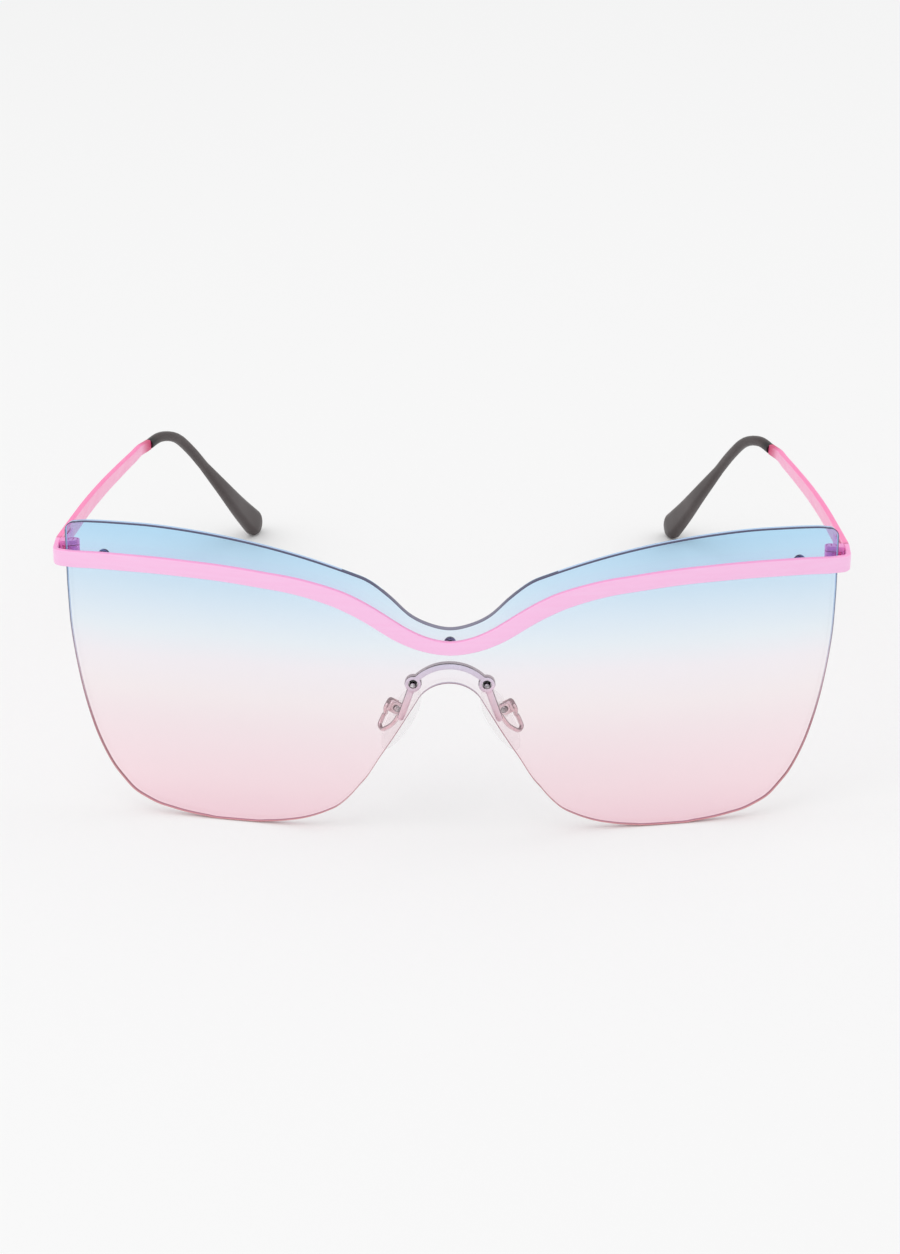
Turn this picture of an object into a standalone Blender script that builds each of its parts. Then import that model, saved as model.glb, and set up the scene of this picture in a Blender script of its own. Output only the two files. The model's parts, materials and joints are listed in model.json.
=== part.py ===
"""Rimless shield sunglasses: one curved lens behind a metal brow bar, on folding temples.

Units are metres. +X is the viewer's right, the front faces -Y and +Z is up.
The glasses stand open on a table, on the two lobes of the lens and the two temple tips.
The origin is at the bottom centre of the whole object's box.
"""

import math

import bmesh
import bpy
from mathutils import Matrix, Vector

# Clearances
SEAT_GAP = 0.0003
FIT_GAP = 0.00015
CUT_OVERRUN = 0.001

# Shield lens
LENS_WIDTH = 0.1452
LENS_HEIGHT = 0.0593
LENS_THICKNESS = 0.0014
LENS_WRAP_RADIUS = 0.250
LENS_CORNER_RADIUS = 0.0020
LENS_LEAN_DEG = 3.0
NOSE_ARCH_RADIUS = 0.0070
LENS_WAIST = 0.01107
NOSE_ARCH_SWEEP_DEG = 58.0

# Brow bar and its returns round the lens edge
BROW_HEIGHT = 0.0034
BROW_THICKNESS = 0.0010
BROW_EDGE_RADIUS = 0.00025
BROW_DIP_DROP = 0.00348
BROW_END_DROP = 0.00805
BROW_CORNER_RADIUS = 0.0018
RETURN_CLEARANCE = 0.0014
RETURN_REACH = 0.0036

# Brow bar fixings
FIXING_INSET = 0.0066
FIXING_DROP = 0.00015
STUD_RADIUS = 0.00055
NUT_RADIUS = 0.00115
NUT_HEIGHT = 0.00135
WASHER_THICKNESS = 0.00030

# Nose bridge
BRIDGE_THICKNESS = 0.0014
BRIDGE_BAND_WIDTH = 0.0012
BRIDGE_ARCH_RADIUS = 0.0088
BRIDGE_RISE = 0.0028
EYE_RADIUS = 0.0016
EYE_OFFSET = 0.0070
EYE_DROP = 0.00025
LEG_WIDTH = 0.0014
LEG_DROP = 0.0069
LEG_SPREAD = 0.0023
PIN_RADIUS = 0.00075
PIN_DOME = 0.00025
PIN_RECESS = 0.0009
SLEEVE_WALL = 0.00025

# Pad arms, boxes and pads
ARM_WIRE_RADIUS = 0.00042
PAD_ARM_DROP = 0.0050
PAD_BOX_SPREAD = 0.0041
PAD_BOX_DROP = 0.00738
PAD_BOX_DEPTH = 0.0079
PAD_BOX_WIDTH = 0.0026
PAD_BOX_WALL = 0.0005
LUG_THICKNESS = 0.0009
LUG_RADIUS = 0.0008
PAD_SCREW_RADIUS = 0.00032
PAD_SCREW_HEAD_RADIUS = 0.00065
PAD_SCREW_HEAD_HEIGHT = 0.0005
PAD_LENGTH = 0.0134
PAD_WIDTH = 0.0080
PAD_THICKNESS = 0.0021
PAD_FLANGE_RADIUS = 0.0017
PAD_FLANGE_THICKNESS = 0.0005
PAD_LEAN_DEG = 36.0
PAD_SPLAY_DEG = 25.0
PAD_RISE_SHARE = 0.38

# Hinges
HINGE_INSET = 0.0035
HINGE_SETBACK = 0.0022
HINGE_RISE = 0.0003
BARREL_RADIUS = 0.00125
BARREL_HEIGHT = 0.0030
BARREL_RISE = 0.0002
KNUCKLE_GAP = 0.00015
HINGE_SCREW_RADIUS = 0.00045
HINGE_SCREW_HEAD_RADIUS = 0.00085
HINGE_SCREW_HEAD_HEIGHT = 0.00035
LEAF_THICKNESS = 0.0010
FRONT_LEAF_REACH = 0.0015
TEMPLE_LEAF_LENGTH = 0.0085
TEMPLE_LEAF_HEIGHT = 0.0019
SLOT_WIDTH = 0.0002
SLOT_DEPTH = 0.0002

# Temples
TEMPLE_REACH = 0.1279
TEMPLE_INSET = 0.0280
TEMPLE_DROP = 0.0305
TEMPLE_JUNCTION = 0.0798
TEMPLE_HEIGHT = 0.0036
TEMPLE_END_HEIGHT = 0.0022
TEMPLE_THICKNESS = 0.0012
TEMPLE_EDGE_RADIUS = 0.00025
CORE_RADIUS = 0.0005

# Temple tips
SLEEVE_WIDTH = 0.0020
SLEEVE_HEIGHT = 0.0021
PADDLE_WIDTH = 0.0030
PADDLE_HEIGHT = 0.0058
PADDLE_ROUND_SHARE = 0.51
PADDLE_ROUND_POWER = 1.27
PADDLE_START_SHARE = 0.483
PADDLE_SPREAD_SHARE = 0.522
CORE_END_GAP = 0.0060

ROUND_SEGMENTS = 24
SMALL_ROUND_SEGMENTS = 16

# Half outline of the lens: shares of the half width and of the height, from the middle outwards
TOP_EDGE_SHARES = [
    (0.0, 0.701), (0.0515, 0.7138), (0.1024, 0.7456), (0.154, 0.8059), (0.2041, 0.8544),
    (0.255, 0.8812), (0.3574, 0.9222), (0.4591, 0.954), (0.5622, 0.9774), (0.6639, 0.9925),
    (0.7698, 1.0), (0.8742, 0.9975), (0.94, 0.9925), (0.965, 0.9885), (1.0, 0.986),
]
OUTER_EDGE_SHARES = [
    (1.0, 0.977), (1.0, 0.86), (0.9995, 0.773), (0.996, 0.650), (0.9896, 0.5676),
    (0.980, 0.4856), (0.9676, 0.4035), (0.951, 0.3218), (0.929, 0.2404), (0.8977, 0.160),
    (0.866, 0.108), (0.8385, 0.0720), (0.8055, 0.0485), (0.774, 0.0318), (0.7423, 0.0226),
    (0.7093, 0.0142), (0.6777, 0.0084), (0.646, 0.0042), (0.6131, 0.0), (0.5182, 0.0),
    (0.4866, 0.0034), (0.4536, 0.0075), (0.4206, 0.0142), (0.389, 0.0226), (0.3574, 0.0352),
    (0.3258, 0.0519), (0.2942, 0.0737), (0.264, 0.1089), (0.2365, 0.151), (0.2145, 0.1859),
    (0.1821, 0.253), (0.1553, 0.3048), (0.132, 0.3518), (0.1072, 0.4037),
]

# Centreline of the brow bar: share of the half width, share of the way from the dip to the ends
BROW_LINE_SHARES = [
    (0.0, 0.0), (0.03, 0.017), (0.062, 0.058), (0.092, 0.118), (0.124, 0.204), (0.154, 0.305),
    (0.184, 0.415), (0.214, 0.518), (0.246, 0.614), (0.291, 0.725), (0.353, 0.830),
    (0.415, 0.904), (0.477, 0.948), (0.538, 0.988), (0.60, 1.018), (0.662, 1.034),
    (0.724, 1.045), (0.786, 1.048), (0.85, 1.042), (0.912, 1.032), (0.975, 1.01),
]

# Height of the brow bar: share of the half width, share of its greatest height
BROW_HEIGHT_SHARES = [
    (0.0, 0.78), (0.05, 0.82), (0.09, 0.88), (0.14, 0.96), (0.27, 1.0), (0.35, 0.95),
    (0.45, 0.92), (0.65, 0.93), (0.85, 0.96), (1.1, 0.955),
]

# Centreline of a temple and its tip: shares of the whole reach, of the inset and of the drop
TEMPLE_LINE_SHARES = [
    (0.0, 0.0, 0.0), (0.117, 0.0319, 0.0), (0.2346, 0.0684, 0.0), (0.3519, 0.121, 0.0),
    (0.469, 0.1892, 0.0), (0.547, 0.2396, 0.0), (0.59, 0.2642, 0.0), (0.62, 0.3123, -0.0056),
    (0.655, 0.392, -0.0292), (0.7, 0.4898, 0.023), (0.745, 0.577, 0.1563),
    (0.8, 0.6688, 0.3457), (0.86, 0.7798, 0.564), (0.93, 0.889, 0.7966),
    (1.0, 1.0031, 1.0168),
]

# Route of the pad arm: shares of the way down the bridge leg, then points in the pad box's own
# directions (across the pad, out of its face, up its length) as shares of the arm's drop
PAD_ARM_LEG_SHARES = [0.45, 0.80]
PAD_ARM_LOOP_SHARES = [
    (-0.532, 0.02, -0.488), (-0.21, 0.03, -0.881), (0.036, 0.05, -1.0), (0.253, 0.02, -0.933),
    (0.322, 0.02, -0.756), (0.312, -0.01, -0.56), (0.223, -0.05, -0.43), (0.06, -0.16, -0.36),
]

COLOURS = {
    "pink": ((0.98, 0.38, 0.70, 1.0), 0.38, 0.35),
    "steel": ((0.72, 0.72, 0.75, 1.0), 0.22, 1.0),
    "silver": ((0.78, 0.76, 0.80, 1.0), 0.30, 1.0),
    "tint": ((0.78, 0.86, 0.95, 1.0), 0.05, 0.0),
    "clear": ((0.93, 0.93, 0.93, 1.0), 0.20, 0.0),
    "silicone": ((0.92, 0.91, 0.91, 1.0), 0.35, 0.0),
    "grey": ((0.115, 0.098, 0.102, 1.0), 0.50, 0.0),
}

SIDES = {"left": -1.0, "right": 1.0}


def clear_scene():
    """Remove everything that the scene holds."""
    for item in list(bpy.data.objects):
        bpy.data.objects.remove(item, do_unlink=True)


def make_material(name, look):
    """Make one Principled material from a colour, a roughness and a metallic value."""
    colour, roughness, metallic = COLOURS[look]
    material = bpy.data.materials.new(name)
    material.use_nodes = True
    shader = material.node_tree.nodes["Principled BSDF"]
    shader.inputs["Base Color"].default_value = colour
    shader.inputs["Roughness"].default_value = roughness
    shader.inputs["Metallic"].default_value = metallic
    material.diffuse_color = colour
    return material


def smooth(mesh):
    """Shade a mesh smooth, with its real edges kept sharp."""
    mesh.shade_smooth()
    mesh.set_sharp_from_angle(angle=math.radians(35.0))


def mesh_of(name, vertices, faces):
    """Make a mesh whose faces all point out."""
    mesh = bpy.data.meshes.new(name)
    mesh.from_pydata([tuple(v) for v in vertices], [], faces)
    work = bmesh.new()
    work.from_mesh(mesh)
    bmesh.ops.triangulate(work, faces=[f for f in work.faces if len(f.verts) > 4])
    bmesh.ops.recalc_face_normals(work, faces=work.faces)
    if work.calc_volume(signed=True) < 0.0:
        bmesh.ops.reverse_faces(work, faces=work.faces)
    work.to_mesh(mesh)
    work.free()
    return mesh


def place(name, mesh, parent, look, matrix=None):
    """Make a named sub-part from a mesh, under its parent empty."""
    item = bpy.data.objects.new(name, mesh)
    bpy.context.scene.collection.objects.link(item)
    item.parent = parent
    if matrix is not None:
        item.matrix_local = matrix
    mesh.materials.clear()
    mesh.materials.append(make_material(name, look))
    smooth(mesh)
    return item


def empty(name, parent, matrix):
    """Make an empty that carries pieces."""
    item = bpy.data.objects.new(name, None)
    bpy.context.scene.collection.objects.link(item)
    item.parent = parent
    item.matrix_local = matrix
    return item


def joined(name, first, others, operation):
    """Return a mesh that is first with each of the others added or taken away."""
    base = bpy.data.objects.new(name, first)
    bpy.context.scene.collection.objects.link(base)
    tools = []
    for index, mesh in enumerate(others):
        tool = bpy.data.objects.new(f"{name}_tool_{index}", mesh)
        tool.hide_render = True
        tool.display_type = "WIRE"
        bpy.context.scene.collection.objects.link(tool)
        step = base.modifiers.new(f"step_{index}", "BOOLEAN")
        step.operation = operation
        step.solver = "EXACT"
        step.object = tool
        tools.append(tool)
    bpy.context.view_layer.update()
    graph = bpy.context.evaluated_depsgraph_get()
    result = bpy.data.meshes.new_from_object(base.evaluated_get(graph))
    for item in [base] + tools:
        bpy.data.objects.remove(item, do_unlink=True)
    return result


def loft(rings):
    """Return vertices and faces of a closed skin through rings of points, with flat ends."""
    count = len(rings[0])
    vertices = [point for ring in rings for point in ring]
    faces = [tuple(range(count))]
    for row in range(len(rings) - 1):
        for k in range(count):
            a = row * count + k
            b = row * count + (k + 1) % count
            faces.append((a, b, b + count, a + count))
    last = (len(rings) - 1) * count
    faces.append(tuple(last + k for k in reversed(range(count))))
    return vertices, faces


def turned(profile, segments):
    """Return vertices and faces of a solid turned about Z; the profile starts and ends on the axis."""
    vertices = [Vector((0.0, 0.0, profile[0][1]))]
    for radius, level in profile[1:-1]:
        for k in range(segments):
            turn = 2.0 * math.pi * k / segments
            vertices.append(Vector((radius * math.cos(turn), radius * math.sin(turn), level)))
    vertices.append(Vector((0.0, 0.0, profile[-1][1])))
    rows = len(profile) - 2
    faces = []
    for k in range(segments):
        j = (k + 1) % segments
        faces.append((0, 1 + j, 1 + k))
        for row in range(rows - 1):
            a = 1 + row * segments
            faces.append((a + k, a + j, a + segments + j, a + segments + k))
        a = 1 + (rows - 1) * segments
        faces.append((a + k, a + j, len(vertices) - 1))
    return vertices, faces


def turned_ring(profile, segments):
    """Return vertices and faces of a ring turned about Z; the profile is a closed loop off the axis."""
    vertices = []
    for radius, level in profile:
        for k in range(segments):
            turn = 2.0 * math.pi * k / segments
            vertices.append(Vector((radius * math.cos(turn), radius * math.sin(turn), level)))
    faces = []
    for row in range(len(profile)):
        a = row * segments
        b = (row + 1) % len(profile) * segments
        for k in range(segments):
            j = (k + 1) % segments
            faces.append((a + k, a + j, b + j, b + k))
    return vertices, faces


def rod(radius, low, high, segments):
    """Return vertices and faces of a plain cylinder about Z."""
    return turned([(0.0, low), (radius, low), (radius, high), (0.0, high)], segments)


def block(low, high):
    """Return vertices and faces of a box between two corners."""
    rings = []
    for z in (low[2], high[2]):
        rings.append([
            Vector((low[0], low[1], z)), Vector((high[0], low[1], z)),
            Vector((high[0], high[1], z)), Vector((low[0], high[1], z)),
        ])
    return loft(rings)


def rounded_section(width, height, radius, steps):
    """Return the points of a rounded rectangle, as pairs across and up."""
    points = []
    centres = [(1.0, 1.0, 0.0), (-1.0, 1.0, 90.0), (-1.0, -1.0, 180.0), (1.0, -1.0, 270.0)]
    for across, up, start in centres:
        for k in range(steps + 1):
            turn = math.radians(start + 90.0 * k / steps)
            x = across * (width / 2.0 - radius) + radius * math.cos(turn)
            y = up * (height / 2.0 - radius) + radius * math.sin(turn)
            points.append((x, y))
    return points


def section_ring(centre, across, up, section):
    """Return a ring of points: a section set at a centre on two directions."""
    return [centre + across * x + up * y for x, y in section]


def through(points, steps):
    """Return points on a smooth curve through the given points (a Catmull-Rom curve)."""
    points = [Vector(p) for p in points]
    padded = [points[0] * 2.0 - points[1]] + points + [points[-1] * 2.0 - points[-2]]
    line = []
    for i in range(1, len(padded) - 2):
        before, start, end, after = padded[i - 1:i + 3]
        for k in range(steps):
            t = k / steps
            line.append(0.5 * (
                2.0 * start + (end - before) * t
                + (2.0 * before - 5.0 * start + 4.0 * end - after) * t ** 2
                + (3.0 * start - before - 3.0 * end + after) * t ** 3
            ))
    line.append(points[-1])
    return line


# The lens surface: every piece on the front is set out on it

LEAN = math.radians(LENS_LEAN_DEG)
LENS_UP = Vector((0.0, math.sin(LEAN), math.cos(LEAN)))
LENS_FRONT = Vector((0.0, -math.cos(LEAN), math.sin(LEAN)))
ACROSS = Vector((1.0, 0.0, 0.0))


def on_lens(x, level, depth):
    """Return the point at a place across, a level up and a depth behind the lens's front face."""
    turn = math.asin(x / LENS_WRAP_RADIUS)
    radius = LENS_WRAP_RADIUS - depth
    back = LENS_WRAP_RADIUS - radius * math.cos(turn)
    return ACROSS * (radius * math.sin(turn)) - LENS_FRONT * back + LENS_UP * level


def lens_axes(x):
    """Return the directions across the lens and out of its front face, at a place across."""
    turn = math.asin(x / LENS_WRAP_RADIUS)
    out = ACROSS * math.sin(turn) + LENS_FRONT * math.cos(turn)
    along = ACROSS * math.cos(turn) - LENS_FRONT * math.sin(turn)
    return along, out


def lens_matrix(x, level, depth):
    """Return a placement whose Z points out of the lens's back, at a place on it."""
    along, out = lens_axes(x)
    turn = Matrix((-along, LENS_UP, -out)).transposed().to_4x4()
    return Matrix.Translation(on_lens(x, level, depth)) @ turn


# Levels that several pieces share

HALF_LENS = LENS_WIDTH / 2.0
DIP_LEVEL = LENS_HEIGHT * TOP_EDGE_SHARES[0][1]
NOSE_ARCH_LEVEL = DIP_LEVEL - LENS_WAIST
BROW_WIDTH = LENS_WIDTH + 2.0 * (RETURN_CLEARANCE + BROW_THICKNESS)
BROW_DIP_LEVEL = DIP_LEVEL - BROW_DIP_DROP
BROW_END_LEVEL = LENS_HEIGHT - BROW_END_DROP
FIXING_OFFSET = HALF_LENS - FIXING_INSET
HINGE_OFFSET = BROW_WIDTH / 2.0 - HINGE_INSET
BRIDGE_DEPTH = LENS_THICKNESS + SEAT_GAP
ARCH_CENTRE_LEVEL = NOSE_ARCH_LEVEL - NOSE_ARCH_RADIUS
BRIDGE_CENTRE_LEVEL = NOSE_ARCH_LEVEL + BRIDGE_RISE - BRIDGE_ARCH_RADIUS
EYE_RISE = math.sqrt(BRIDGE_ARCH_RADIUS ** 2 - EYE_OFFSET ** 2) - EYE_DROP
EYE_LEVEL = BRIDGE_CENTRE_LEVEL + EYE_RISE
PAD_BOX_LEVEL = EYE_LEVEL - PAD_BOX_DROP
PAD_BOX_OFFSET = EYE_OFFSET + PAD_BOX_SPREAD
STUD_HOLE_RADIUS = STUD_RADIUS + FIT_GAP
PIN_HOLE_RADIUS = PIN_RADIUS + FIT_GAP + SLEEVE_WALL + FIT_GAP
BROW_DEPTH = -(SEAT_GAP + BROW_THICKNESS / 2.0)


def brow_line():
    """Return the bar's centreline over the right half of the lens, as pairs across and up."""
    rise = BROW_END_LEVEL - BROW_DIP_LEVEL
    points = [(x * HALF_LENS, BROW_DIP_LEVEL + share * rise, 0.0) for x, share in BROW_LINE_SHARES]
    return through(points, 2)


def brow_level(x):
    """Return the level of the bar's centreline at a place across."""
    line = brow_line()
    for start, end in zip(line, line[1:]):
        if start.x <= abs(x) <= end.x:
            share = (abs(x) - start.x) / (end.x - start.x)
            return start.y + (end.y - start.y) * share
    return line[-1].y


# Places of the return, the hinge and the temple, on the right-hand side

RETURN_CENTRE_X = BROW_WIDTH / 2.0 - BROW_THICKNESS / 2.0
BROW_SURFACE_RADIUS = LENS_WRAP_RADIUS - BROW_DEPTH
CORNER_CENTRE_X = RETURN_CENTRE_X - BROW_CORNER_RADIUS
CORNER_START_X = CORNER_CENTRE_X / (1.0 - BROW_CORNER_RADIUS / BROW_SURFACE_RADIUS)
CORNER_START_TURN = math.asin(CORNER_START_X / BROW_SURFACE_RADIUS)
RETURN_LEVEL = brow_level(HALF_LENS)
CORNER_BACK = (
    LENS_WRAP_RADIUS - BROW_SURFACE_RADIUS * math.cos(CORNER_START_TURN)
    + BROW_CORNER_RADIUS * math.cos(CORNER_START_TURN)
)
CORNER_CENTRE = ACROSS * CORNER_CENTRE_X - LENS_FRONT * CORNER_BACK + LENS_UP * RETURN_LEVEL
RETURN_START = CORNER_CENTRE + ACROSS * BROW_CORNER_RADIUS
LEVEL_BACK = Vector((0.0, 1.0, 0.0))
LEVEL_UP = Vector((0.0, 0.0, 1.0))
RETURN_END = RETURN_START + LEVEL_BACK * RETURN_REACH


def temple_line():
    """Return the centreline of a temple and its tip, in the hinge's own directions."""
    start = BROW_WIDTH / 2.0 - HINGE_OFFSET - TEMPLE_THICKNESS / 2.0
    points = []
    for reach, inset, drop in TEMPLE_LINE_SHARES:
        points.append((start - TEMPLE_INSET * inset, TEMPLE_REACH * reach, -TEMPLE_DROP * drop))
    return through(points, 4)


TEMPLE_LINE = temple_line()


def temple_station(reach):
    """Return the temple's centre, and its directions across and up, at a reach along it."""
    line = TEMPLE_LINE
    i = 1
    while i < len(line) - 2 and line[i].y < reach:
        i += 1
    before, after = line[i - 1], line[i]
    share = (reach - before.y) / (after.y - before.y)
    centre = before.lerp(after, share)
    first = (after - line[max(i - 2, 0)]).normalized()
    second = (line[min(i + 1, len(line) - 1)] - before).normalized()
    along = first.lerp(second, min(max(share, 0.0), 1.0)).normalized()
    up = (LEVEL_UP - along * along.z).normalized()
    return centre, along.cross(up), up


def tip_rings():
    """Return the outer sections of a temple tip, from the sleeve's mouth to the rounded end."""
    rings = []
    last = TEMPLE_REACH - PADDLE_HEIGHT * PADDLE_ROUND_SHARE
    steps = 20
    for k in range(steps + 1):
        share = k / steps
        grow = min(max((share - PADDLE_START_SHARE) / PADDLE_SPREAD_SHARE, 0.0), 1.0)
        width = SLEEVE_WIDTH + (PADDLE_WIDTH - SLEEVE_WIDTH) * grow
        height = SLEEVE_HEIGHT + (PADDLE_HEIGHT - SLEEVE_HEIGHT) * grow
        centre, across, up = temple_station(TEMPLE_JUNCTION + (last - TEMPLE_JUNCTION) * share)
        section = rounded_section(width, height, width * 0.45, 3)
        rings.append(section_ring(centre, across, up, section))
    for k in range(1, 6):
        turn = math.radians(15.0 * k)
        centre, across, up = temple_station(last + (TEMPLE_REACH - last) * math.sin(turn))
        width = PADDLE_WIDTH * (0.4 + 0.6 * math.cos(turn))
        height = PADDLE_HEIGHT * math.cos(turn) ** PADDLE_ROUND_POWER
        section = rounded_section(width, height, min(width, height) * 0.45, 3)
        rings.append(section_ring(centre, across, up, section))
    return rings


def temple_pitch():
    """Return the angle at which the temples slope down, so that the tips rest on the table."""
    rest_x = HALF_LENS * max(x for x, level in OUTER_EDGE_SHARES if level == 0.0)
    floor = on_lens(rest_x, 0.0, LENS_THICKNESS)
    rest = RETURN_END.z + HINGE_RISE - floor.z
    points = [p for ring in tip_rings() for p in ring]
    low, high = 0.0, math.radians(20.0)
    for _ in range(50):
        pitch = (low + high) / 2.0
        reach = max(p.y * math.sin(pitch) - p.z * math.cos(pitch) for p in points)
        if reach < rest:
            low = pitch
        else:
            high = pitch
    return low


PITCH = temple_pitch()
TEMPLE_BACK = Vector((0.0, math.cos(PITCH), -math.sin(PITCH)))
TEMPLE_UP = Vector((0.0, math.sin(PITCH), math.cos(PITCH)))
HINGE_POINT = Vector((HINGE_OFFSET, RETURN_START.y + HINGE_SETBACK, RETURN_END.z + HINGE_RISE))
RETURN_FACE_X = RETURN_CENTRE_X - BROW_THICKNESS / 2.0 - HINGE_OFFSET
RETURN_END_Y = (RETURN_REACH - HINGE_SETBACK) / math.cos(PITCH) + HINGE_RISE * math.tan(PITCH)


def hinge_matrix(side):
    """Return the hinge's placement: X across, Y back along the temple, Z up its pin."""
    turn = Matrix((ACROSS, TEMPLE_BACK, TEMPLE_UP)).transposed().to_4x4()
    place_at = Vector((side * HINGE_POINT.x, HINGE_POINT.y, HINGE_POINT.z))
    return Matrix.Translation(place_at) @ turn


def mirrored(vertices, side):
    """Return points made for the right-hand side, moved to the given side."""
    return [Vector((side * v.x, v.y, v.z)) for v in vertices]


# Shield lens

def lens_half_outline():
    """Return the top and the bottom edge of the right half, as points from the middle outwards."""
    top = through([(x * HALF_LENS, z * LENS_HEIGHT, 0.0) for x, z in TOP_EDGE_SHARES[:-1]], 3)
    corner_x = HALF_LENS - LENS_CORNER_RADIUS
    last = TOP_EDGE_SHARES[-1]
    corner_z = last[1] * LENS_HEIGHT - LENS_CORNER_RADIUS
    top = [p for p in top if p.x < corner_x]
    for k in range(7):
        turn = math.radians(90.0 - 15.0 * k)
        x = corner_x + LENS_CORNER_RADIUS * math.cos(turn)
        top.append(Vector((x, corner_z + LENS_CORNER_RADIUS * math.sin(turn), 0.0)))
    outer = through([(x * HALF_LENS, z * LENS_HEIGHT, 0.0) for x, z in OUTER_EDGE_SHARES[2:]], 2)
    bottom = [Vector((p.x, max(p.y, 0.0), 0.0)) for p in reversed(outer)]
    arch = []
    for k in range(9):
        turn = math.radians(NOSE_ARCH_SWEEP_DEG * k / 9.0)
        x = NOSE_ARCH_RADIUS * math.sin(turn)
        arch.append(Vector((x, ARCH_CENTRE_LEVEL + NOSE_ARCH_RADIUS * math.cos(turn), 0.0)))
    return top, arch + bottom


def level_at(line, x):
    """Return the level of an edge at a place across."""
    for start, end in zip(line, line[1:]):
        if start.x <= x <= end.x:
            if end.x == start.x:
                return end.y
            return start.y + (end.y - start.y) * (x - start.x) / (end.x - start.x)
    return line[-1].y


def make_lens(parent):
    """Make the lens: strips between upright lines, so that each strip is flat."""
    top, bottom = lens_half_outline()
    least_step = LENS_WIDTH / 20000.0
    places = []
    for x in sorted(p.x for p in top + bottom):
        if not places or x - places[-1] > least_step:
            places.append(x)
    columns = []
    for x in [-x for x in reversed(places[1:])] + places:
        columns.append((x, level_at(top, abs(x)), level_at(bottom, abs(x))))
    rings = []
    for x, high, low in columns:
        rings.append([
            on_lens(x, low, 0.0), on_lens(x, high, 0.0),
            on_lens(x, high, LENS_THICKNESS), on_lens(x, low, LENS_THICKNESS),
        ])
    blank = mesh_of("lens_blank", *loft(rings))
    drills = []
    for x in (-FIXING_OFFSET, 0.0, FIXING_OFFSET):
        drills.append(drill("stud_hole", x, brow_level(x) - FIXING_DROP, STUD_HOLE_RADIUS))
    for x in (-EYE_OFFSET, EYE_OFFSET):
        drills.append(drill("pin_hole", x, EYE_LEVEL, PIN_HOLE_RADIUS))
    mesh = joined("lens_mesh", blank, drills, "DIFFERENCE")
    place("shield_lens", mesh, parent, "tint")


def drill(name, x, level, radius):
    """Return a cutter that goes right through the lens and the bridge behind it."""
    low = -CUT_OVERRUN
    high = BRIDGE_DEPTH + BRIDGE_THICKNESS + CUT_OVERRUN
    mesh = mesh_of(name, *rod(radius, low, high, SMALL_ROUND_SEGMENTS))
    mesh.transform(lens_matrix(x, level, 0.0))
    return mesh


# Brow bar

def brow_height(x):
    """Return the bar's height at a place across."""
    share = abs(x) / HALF_LENS
    for start, end in zip(BROW_HEIGHT_SHARES, BROW_HEIGHT_SHARES[1:]):
        if start[0] <= share <= end[0]:
            part = (share - start[0]) / (end[0] - start[0])
            return BROW_HEIGHT * (start[1] + (end[1] - start[1]) * part)
    return BROW_HEIGHT


def brow_rings():
    """Return the bar's sections from the left return to the right return."""
    half = []
    line = [p for p in brow_line() if p.x < CORNER_START_X - BROW_CORNER_RADIUS]
    for i, p in enumerate(line):
        after = line[min(i + 1, len(line) - 1)]
        before = line[max(i - 1, 0)]
        slope = math.atan2(after.y - before.y, after.x - before.x) if i else 0.0
        along, out = lens_axes(p.x)
        up = LENS_UP * math.cos(slope) - along * math.sin(slope)
        section = rounded_section(BROW_THICKNESS, brow_height(p.x), BROW_EDGE_RADIUS, 2)
        half.append((on_lens(p.x, p.y, BROW_DEPTH), out, up, section))
    section = rounded_section(BROW_THICKNESS, brow_height(HALF_LENS), BROW_EDGE_RADIUS, 2)
    steps = 7
    for k in range(steps + 1):
        share = k / steps
        turn = CORNER_START_TURN + (math.pi / 2.0 - CORNER_START_TURN) * share
        out = ACROSS * math.sin(turn) + LENS_FRONT * math.cos(turn)
        up = (LENS_UP * (1.0 - share) + LEVEL_UP * share).normalized()
        out = (out - up * out.dot(up)).normalized()
        half.append((CORNER_CENTRE + out * BROW_CORNER_RADIUS, out, up, section))
    half.append((RETURN_END, ACROSS, TEMPLE_UP / math.cos(PITCH), section))
    rings = []
    for centre, out, up, section in half:
        rings.append(section_ring(centre, out, up, section))
    left = []
    for ring in reversed(rings[1:]):
        left.append([Vector((-p.x, p.y, p.z)) for p in ring])
    return left + rings


def make_brow_bar(parent):
    """Make the bar in front of the lens, with a return round each edge of it."""
    place("brow_bar", mesh_of("brow_bar_mesh", *loft(brow_rings())), parent, "pink")


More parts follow.
